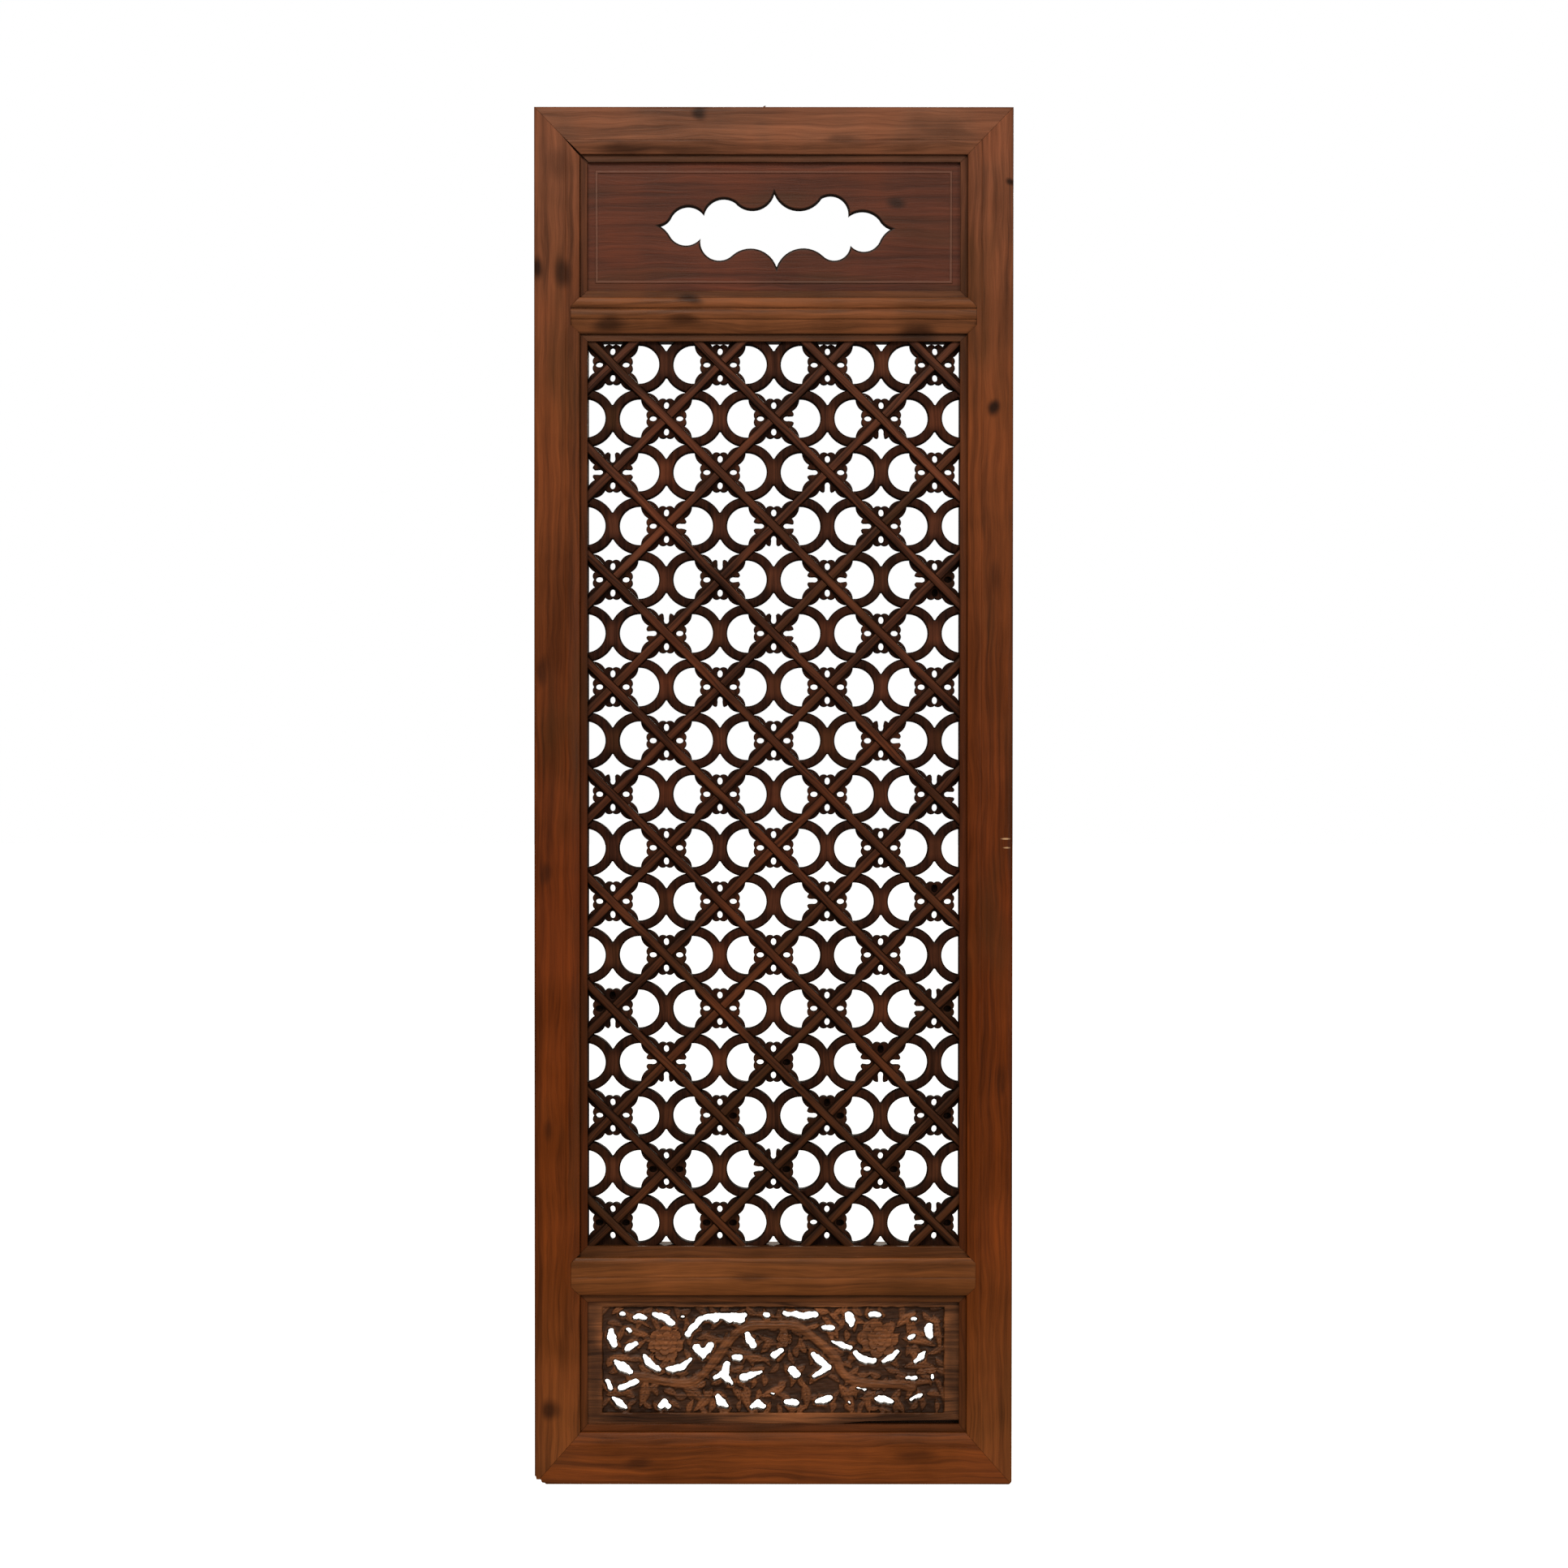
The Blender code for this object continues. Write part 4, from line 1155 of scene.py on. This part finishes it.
class Graph:
    """Short ways to add nodes to a material."""

    def __init__(self, name):
        self.material = bpy.data.materials.new(name)
        self.material.use_nodes = True
        self.nodes = self.material.node_tree.nodes
        self.links = self.material.node_tree.links
        self.shader = self.nodes["Principled BSDF"]

    def set(self, socket, value):
        if isinstance(value, bpy.types.NodeSocket):
            self.links.new(value, socket)
        else:
            socket.default_value = value

    def add(self, kind, values=(), **settings):
        """A new node with its settings, and with the values on its first sockets."""
        made = self.nodes.new("ShaderNode" + kind)
        for setting, value in settings.items():
            setattr(made, setting, value)
        for socket, value in zip(made.inputs, values):
            self.set(socket, value)
        return made

    def coordinates(self, kind="Object"):
        return self.add("TexCoord").outputs[kind]

    def math(self, operation, *values):
        return self.add("Math", values, operation=operation).outputs[0]

    def plus(self, first, second):
        return self.math("ADD", first, second)

    def minus(self, first, second):
        return self.math("SUBTRACT", first, second)

    def times(self, first, second):
        return self.math("MULTIPLY", first, second)

    def vector(self, operation, *values):
        made = self.add("VectorMath", values, operation=operation)
        return made.outputs["Value" if operation == "LENGTH" else "Vector"]

    def point(self, x=0.0, y=0.0, z=0.0):
        return self.add("CombineXYZ", (x, y, z)).outputs[0]

    def part(self, vector, axis):
        return self.add("SeparateXYZ", (vector,)).outputs[axis]

    def noise(self, place, scales, detail, roughness=0.55):
        """Noise that is finer along an axis the larger its scale."""
        made = self.add("TexNoise")
        made.inputs["Scale"].default_value = 1.0
        made.inputs["Detail"].default_value = detail
        made.inputs["Roughness"].default_value = roughness
        self.set(made.inputs["Vector"], self.vector("MULTIPLY", place, scales))
        return made.outputs["Fac"]

    def ramp(self, factor, stops):
        made = self.add("ValToRGB", (factor,))
        elements = made.color_ramp.elements
        while len(elements) < len(stops):
            elements.new(0.5)
        for element, (position, tone) in zip(elements, stops):
            element.position = position
            element.color = colour(*tone)
        return made.outputs[0]

    def span(self, value, low, high, to_low=0.0, to_high=1.0, way="SMOOTHSTEP"):
        values = (value, low, high, to_low, to_high)
        return self.add("MapRange", values, interpolation_type=way).outputs[0]

    def mix(self, factor, first, second, blend="MIX"):
        made = self.add("Mix", data_type="RGBA", blend_type=blend)
        self.set(made.inputs["Factor"], factor)
        for socket, value in zip((s for s in made.inputs if s.type == "RGBA"), (first, second)):
            self.set(socket, value)
        return next(s for s in made.outputs if s.type == "RGBA")

    def grey(self, value):
        """A value as a grey colour, to multiply with."""
        return self.add("CombineColor", (value, value, value)).outputs[0]


def colour(*levels):
    """An sRGB colour of 0 to 255 as linear values."""
    def linear(level):
        share = level / 255
        return share / 12.92 if share <= 0.04045 else ((share + 0.055) / 1.055) ** 2.4
    return (*(linear(level) for level in levels), 1)


# Dark knots and stains, pale scratches, and darker strips by the lower field's edges: x, z, half sizes along
# x and z, and strength
KNOTS = [
    (-0.212, -0.122, 0.008, 0.011, 0.9), (-0.189, -0.124, 0.009, 0.015, 0.75),
    (-0.133, -0.014, 0.024, 0.008, 0.55), (-0.067, 0.016, 0.008, 0.007, 0.85),
    (-0.079, -0.151, 0.013, 0.006, 0.8), (-0.148, -0.173, 0.018, 0.009, 0.7),
    (-0.085, -0.171, 0.016, 0.006, 0.6), (0.129, -0.181, 0.022, 0.009, 0.7),
    (0.112, -0.062, 0.009, 0.007, 0.8), (0.202, -0.245, 0.007, 0.008, 0.95),
    (0.2155, -0.044, 0.004, 0.005, 0.9), (-0.203, -1.154, 0.008, 0.011, 0.75),
    (-0.208, -0.487, 0.007, 0.014, 0.55), (-0.209, -0.668, 0.006, 0.012, 0.5),
    (0.201, -0.400, 0.007, 0.018, 0.4), (-0.207, -0.905, 0.006, 0.013, 0.45),
    (0.205, -0.860, 0.007, 0.016, 0.4), (0.06, -0.004, 0.018, 0.005, 0.4),
    (-0.02, -1.038, 0.022, 0.005, 0.45), (0.13, -1.200, 0.020, 0.006, 0.45),
    (-0.12, -1.205, 0.015, 0.005, 0.5), (0.15, 0.002, 0.028, 0.006, 0.35),
    (-0.192, -0.028, 0.016, 0.016, 0.35), (-0.19, -1.09, 0.006, 0.05, 0.35),
]
SCRATCHES = [(0.2105, -0.6375, 0.0045, 0.0009, 0.8), (0.2115, -0.6456, 0.0035, 0.0008, 0.7)]
# Darker strips along the sides and the bottom of the lower board's field
FIELD_EDGE_DARKENING = [
    (-0.165, -1.115, 0.011, 0.075, 0.66), (0.165, -1.115, 0.010, 0.075, 0.5),
    (-0.10, -1.168, 0.085, 0.009, 0.75), (0.10, -1.169, 0.085, 0.008, 0.65),
]


def marks(graph, place, spots):
    """How strongly the spots mark each point, as one value."""
    total = 0.0
    for x, z, half_x, half_z, strength in spots:
        centred = graph.vector("SUBTRACT", place, (x, 0, z))
        scaled = graph.vector("MULTIPLY", centred, (1 / half_x, 0, 1 / half_z))
        here = graph.span(graph.vector("LENGTH", scaled), 1.25, 0.25, 0.0, strength)
        total = here if isinstance(total, float) else graph.math("MAXIMUM", total, here)
    return total


def waist_mask(graph, place):
    """1 where a scroll's two arcs meet, falling to 0 along the arcs."""
    column = graph.math("DIVIDE", graph.part(place, 0), column_pitch)
    row = graph.math("DIVIDE", graph.minus(graph.part(place, 2), lattice_middle), row_pitch)
    past = []
    for diagonal in (graph.plus(column, row), graph.minus(column, row)):
        half = graph.times(diagonal, 0.5)
        past.append(graph.minus(half, graph.math("ROUND", half)))
    height = graph.math("ABSOLUTE", graph.minus(*past))
    return graph.span(height, 0.28, 0.08)


# Linear colours laid over the wood
WARM = colour(112, 50, 22)
DULL = colour(66, 40, 17)
SCRATCHED = colour(206, 168, 128)
# A painted highlight on the crown of the upper board's raised bead line
BEAD_HIGHLIGHT = colour(150, 118, 104)
# Dirt and painted shade in the recesses
RECESS_DIRT_AND_SHADE = (0.012, 0.006, 0.004, 1)
# Painted shade on faces that turn away from the front
SIDE_SHADE = (0.008, 0.004, 0.002, 1)
# Darkening of the scrolls along their arcs, away from the waists
ARC_DARKENING = (0.005, 0.0010, 0.0006, 1)
KNOT = (0.013, 0.004, 0.0015, 1)

# How a wood looks unless its finish says otherwise. Dirt and painted shade in the recesses take two depths
# behind the front and how dark they grow between them, and from plain_depth the back is handled wood again.
# Painted shade darkens faces that turn away from the front, from a set depth on. A painted highlight on a
# raised bead is two depths and how pale the wood in front of them is made.
PLAIN_LOOK = {
    "contrast": 1.0, "roughness": 0.46, "shine": 0.22, "scale": 1.0, "spots": (),
    "recess_dirt_and_shade": (0.003, 0.009, 0.55), "plain_depth": 0.0285,
    "side_shade": 0.3, "side_shade_depth": 0.0, "side_shade_turn": (0.2, 0.75), "dark_arcs": False, "bead_highlight": None,
}
plain_blend = 0.0015
side_shade_blend = 0.001
own_shift = (3.7, 1.9)
grain_bend = 0.016
spot_wander = 0.004


def grain_place(graph, place, turn):
    """Places turned to run with the grain, and shifted by each piece's own chance."""
    turned = graph.add("Mapping")
    turned.inputs["Rotation"].default_value = (0, turn, 0)
    graph.set(turned.inputs["Vector"], place)
    own = graph.add("ObjectInfo").outputs["Random"]
    shift = graph.point(*(graph.times(own, share) for share in own_shift))
    return graph.vector("ADD", turned.outputs[0], shift)


def lightness(graph, broad, rings, fibres, blotch, contrast):
    """How much lighter or darker than its tone the grain leaves the wood."""
    light = graph.plus(graph.span(broad, 0.28, 0.72, 0.66, 1.30), graph.span(rings, 0.3, 0.7, -0.17, 0.17))
    light = graph.plus(light, graph.span(fibres, 0.25, 0.75, -0.10, 0.10))
    light = graph.times(light, graph.span(blotch, 0.3, 0.7, 0.82, 1.16))
    return graph.plus(graph.times(graph.minus(light, 1.0), contrast), 1.0)


def shaded_and_dirtied(graph, place, clean, look):
    """Dirt and painted shade in the depths, painted shade on the faces that turn away, and the scrolls
    darkened along their arcs.
    """
    depth = graph.part(place, 1)
    # Darker with depth behind the front, less again on the back: dirt and painted shade in the recesses
    low, high, strength = look["recess_dirt_and_shade"]
    plain = front + look["plain_depth"]
    sunk = graph.span(depth, front + low, front + high, 0.0, strength)
    sunk = graph.times(sunk, graph.span(depth, plain - plain_blend, plain, 1.0, 0.2))
    dirt_and_shade = graph.mix(sunk, clean, RECESS_DIRT_AND_SHADE)
    # Painted shade: faces that turn away from the front, such as the walls of openings and the rounded edges
    # of bars, made darker
    facing = graph.part(graph.coordinates("Normal"), 1)
    turned_away = graph.minus(1.0, graph.math("ABSOLUTE", facing))
    side_shaded = graph.span(turned_away, *look["side_shade_turn"], 0.0, look["side_shade"])
    if look["side_shade_depth"]:
        start = front + look["side_shade_depth"]
        side_shaded = graph.times(side_shaded, graph.span(depth, start, start + side_shade_blend))
    dirt_and_shade = graph.mix(side_shaded, dirt_and_shade, SIDE_SHADE)
    # The scrolls made darker along their arcs, and left as they are where the two arcs meet
    if look["dark_arcs"]:
        dirt_and_shade = graph.mix(waist_mask(graph, place), graph.mix(0.62, dirt_and_shade, ARC_DARKENING), dirt_and_shade)
    return dirt_and_shade


def marked(graph, place, bend, blotch, ground, spots):
    """Knots, stains and darker strips with wandering outlines, and straight scratches."""
    aside = [graph.span(noisy, 0.3, 0.7, -spot_wander, spot_wander) for noisy in (bend, blotch)]
    wandering = graph.vector("ADD", place, graph.point(aside[0], 0.0, aside[1]))
    knotty = graph.mix(marks(graph, wandering, spots), ground, KNOT)
    return graph.mix(marks(graph, place, SCRATCHES), knotty, SCRATCHED)


def wood(name, grain_turn, tones_and_light, **given):
    """Varnished softwood coloured by (height, sRGB levels) from the top down; the change with height is
    painted light, chiefly paler and greyer towards the top as if lit and reflecting from above.
    """
    look = {**PLAIN_LOOK, **given}
    graph = Graph(name)
    place = graph.coordinates()
    grain = grain_place(graph, place, grain_turn)
    scale = look["scale"]

    # Slow waves bend the grain, which is then drawn out along the length
    bend = graph.noise(grain, (9, 30, 30), 2.0)
    offset = graph.point(0.0, 0.0, graph.times(graph.minus(bend, 0.5), grain_bend))
    bent = graph.vector("ADD", grain, offset)
    broad = graph.noise(bent, (5 * scale, 60 * scale, 150 * scale), 4.0, 0.62)
    rings = graph.noise(bent, (9 * scale, 160 * scale, 420 * scale), 3.0, 0.5)
    fibres = graph.noise(bent, (60, 900, 1900), 2.0, 0.6)
    blotch = graph.noise(place, (14, 14, 11), 3.0, 0.5)
    stained = graph.noise(grain, (6, 20, 26), 2.0)

    # Colour by height, which paints light: the wood paler and greyer towards the top, as if lit and
    # reflecting from above
    height = graph.span(graph.part(place, 2), panel_bottom, panel_top, way="LINEAR")
    stops = sorted(((z - panel_bottom) / (panel_top - panel_bottom), tone) for z, tone in tones_and_light)
    light = lightness(graph, broad, rings, fibres, blotch, look["contrast"])
    surface = graph.mix(1.0, graph.ramp(height, stops), graph.grey(light), "MULTIPLY")
    surface = graph.mix(graph.span(blotch, 0.45, 0.75, 0.0, 0.18), surface, WARM)
    surface = graph.mix(graph.span(stained, 0.5, 0.72, 0.0, 0.42), surface, DULL)
    surface = shaded_and_dirtied(graph, place, surface, look)
    if look["spots"]:
        surface = marked(graph, place, bend, blotch, surface, look["spots"])
    # A painted highlight: the wood in front of the given depths, the crown of the board's raised bead line,
    # mixed towards a pale grey
    if look["bead_highlight"]:
        low, high, paleness = look["bead_highlight"]
        worn = graph.span(graph.part(place, 1), front + low, front + high, paleness, 0.0)
        surface = graph.mix(worn, surface, BEAD_HIGHLIGHT)
    graph.set(graph.shader.inputs["Base Color"], surface)

    uneven = graph.plus(graph.times(rings, 0.5), graph.times(fibres, 0.5))
    bump = graph.add("Bump")
    bump.inputs["Strength"].default_value = 0.5
    bump.inputs["Distance"].default_value = 0.0006
    graph.set(bump.inputs["Height"], graph.plus(uneven, graph.times(broad, 0.9)))
    graph.set(graph.shader.inputs["Normal"], bump.outputs[0])
    roughness = look["roughness"]
    rough = graph.span(blotch, 0.3, 0.7, roughness - 0.07, roughness + 0.10)
    graph.set(graph.shader.inputs["Roughness"], rough)
    graph.shader.inputs["Specular IOR Level"].default_value = look["shine"]
    return graph.material


def iron():
    graph = Graph("nail_iron")
    rust = graph.noise(graph.coordinates(), (900, 900, 900), 3.0)
    rusty = graph.ramp(rust, [(0.35, (52, 40, 36)), (0.65, (120, 70, 48))])
    graph.set(graph.shader.inputs["Base Color"], rusty)
    graph.shader.inputs["Metallic"].default_value = 0.6
    graph.shader.inputs["Roughness"].default_value = 0.6
    return graph.material


def make_finishes():
    # Colours by height from the top down, with painted light in them: paler and greyer towards the top
    stile_tones_and_light = [
        (0.0, (111, 66, 45)), (-0.25, (103, 54, 25)), (-0.7, (93, 39, 6)), (-1.0, (104, 48, 11)),
        (-1.2, (110, 61, 27)),
    ]
    rail_tones_and_light = [
        (0.02, (108, 67, 47)), (-0.16, (109, 64, 36)), (-1.04, (114, 65, 30)), (-1.2, (109, 54, 16)),
    ]
    board_tones_and_light = [(0.0, (83, 39, 22)), (-0.14, (81, 37, 21))]
    carving_tones_and_light = [(-1.0, (124, 76, 44)), (-1.2, (118, 71, 40))]
    bar_tones_and_light = [(-0.18, (76, 42, 28)), (-0.6, (70, 35, 18)), (-1.0, (70, 38, 18))]
    inlay_tones_and_light = [(-0.18, (71, 39, 26)), (-0.6, (69, 36, 23)), (-1.0, (69, 38, 22))]
    board_look = {
        "contrast": 0.9, "roughness": 0.5, "recess_dirt_and_shade": (0.011005, 0.01112, 0.93), "spots": KNOTS,
        "plain_depth": 0.0198, "side_shade": 0.9, "side_shade_depth": 0.0112, "bead_highlight": (0.0101, 0.0108, 0.16),
    }
    carving_look = {
        "contrast": 1.4, "roughness": 0.5, "recess_dirt_and_shade": (0.0116, 0.0141, 0.82), "spots": FIELD_EDGE_DARKENING,
        "scale": 1.8, "side_shade": 0.72, "side_shade_depth": 0.0112,
    }
    bar_look = {
        "contrast": 1.6, "roughness": 0.55, "recess_dirt_and_shade": (0.0125, 0.022, 0.8), "scale": 2.0, "side_shade": 0.95,
        "side_shade_turn": (0.03, 0.5), "shine": 0.1,
    }
    inlay_look = {
        "contrast": 1.4, "roughness": 0.6, "recess_dirt_and_shade": (0.0125, 0.024, 0.8), "scale": 1.6, "side_shade": 0.97,
        "side_shade_turn": (0.02, 0.36), "shine": 0.06, "dark_arcs": True,
    }
    return {
        "stile": wood("stile_wood", pi / 2, stile_tones_and_light, spots=KNOTS, shine=0.1),
        "rail": wood("rail_wood", 0.0, rail_tones_and_light, spots=KNOTS, shine=0.14),
        "board": wood("board_wood", 0.0, board_tones_and_light, **board_look),
        "carving": wood("carving_wood", 0.0, carving_tones_and_light, **carving_look),
        "rising": wood("rising_bar_wood", pi / 4, bar_tones_and_light, **bar_look),
        "falling": wood("falling_bar_wood", -pi / 4, bar_tones_and_light, **bar_look),
        "inlay": wood("inlay_wood", pi / 2, inlay_tones_and_light, **inlay_look),
        "iron": iron(),
    }


# Stage, light and camera

view_distance = 3.6
sensor = 36.0
frame_height = 1.4212
aim = Vector((0.0095, front, -0.5879))
look_down = radians(0.9)
roll = radians(0.03)


def make_camera():
    data = bpy.data.cameras.new("camera")
    data.sensor_width = sensor
    data.lens = sensor * view_distance / frame_height
    camera = add_object("camera", data)
    camera.location = aim + Vector((0, -cos(look_down), sin(look_down))) * view_distance
    towards = (aim - camera.location).to_track_quat("-Z", "Y")
    camera.rotation_mode = "QUATERNION"
    camera.rotation_quaternion = towards @ Matrix.Rotation(roll, 3, "Z").to_quaternion()
    bpy.context.scene.camera = camera


def make_light(name, place, target, width, height, power, tint):
    data = bpy.data.lights.new(name, "AREA")
    data.shape = "RECTANGLE"
    data.size, data.size_y = width, height
    data.energy = power
    data.color = tint
    lamp = add_object(name, data)
    lamp.location = place
    lamp.rotation_euler = (Vector(target) - Vector(place)).to_track_quat("-Z", "Y").to_euler()


def make_floor():
    """A white floor under the panel that runs out into the white surround."""
    floor_drop = 0.35
    reach = 30
    z = panel_bottom - floor_drop
    floor = bpy.data.meshes.new("floor")
    corners = [(x, y, z) for x, y in rectangle(-reach, reach, -reach, reach)]
    floor.from_pydata(corners, [], [(0, 1, 2, 3)])
    ground = add_object("floor", floor)
    paint = bpy.data.materials.new("floor_white")
    paint.use_nodes = True
    shader = paint.node_tree.nodes["Principled BSDF"]
    shader.inputs["Base Color"].default_value = (0.9, 0.9, 0.9, 1)
    shader.inputs["Roughness"].default_value = 0.9
    shader.inputs["Emission Color"].default_value = (1, 1, 1, 1)
    shader.inputs["Emission Strength"].default_value = 0.9
    floor.materials.append(paint)
    ground.visible_diffuse = False
    ground.visible_glossy = False


def make_surround():
    """White behind the panel, soft and warm on the wood, and dim in its reflections."""
    world = bpy.data.worlds.new("surround")
    bpy.context.scene.world = world
    world.use_nodes = True
    nodes, links = world.node_tree.nodes, world.node_tree.links

    def background(tint, strength):
        made = nodes.new("ShaderNodeBackground")
        made.inputs["Color"].default_value = tint
        made.inputs["Strength"].default_value = strength
        return made

    def where(ray, otherwise, there):
        """One surround for rays of a kind, and another for the rest."""
        chosen = nodes.new("ShaderNodeMixShader")
        links.new(path.outputs[ray], chosen.inputs[0])
        links.new(otherwise.outputs[0], chosen.inputs[1])
        links.new(there.outputs[0], chosen.inputs[2])
        return chosen

    path = nodes.new("ShaderNodeLightPath")
    lighting = background((1, 0.93, 0.82, 1), 0.42)
    reflected = background((1, 1, 1, 1), 0.05)
    seen = background((1, 1, 1, 1), 1.0)
    unseen = where("Is Glossy Ray", lighting, reflected)
    surround = where("Is Camera Ray", unseen, seen)
    links.new(surround.outputs[0], nodes["World Output"].inputs["Surface"])


def make_lights():
    """Plain soft light from above and the front, and some from behind."""
    warm = (1.0, 0.92, 0.80)
    make_light("key", (-0.8, -3.0, 1.9), (0, 0, -0.55), 1.6, 1.2, 96, warm)
    make_light("fill", (1.8, -2.4, -0.2), (0, 0, -0.6), 1.4, 1.8, 22, warm)
    make_light("back_fill", (0.6, 2.6, 0.9), (0, 0, -0.6), 1.8, 1.4, 60, warm)
    bpy.context.scene.view_settings.view_transform = "Standard"
    bpy.context.scene.view_settings.look = "None"


finishes = make_finishes()
make_frame(finishes)
make_upper_board(finishes)
make_lower_board(finishes)
make_lattice(finishes)
make_nail(finishes)
make_floor()
make_surround()
make_lights()
make_camera()
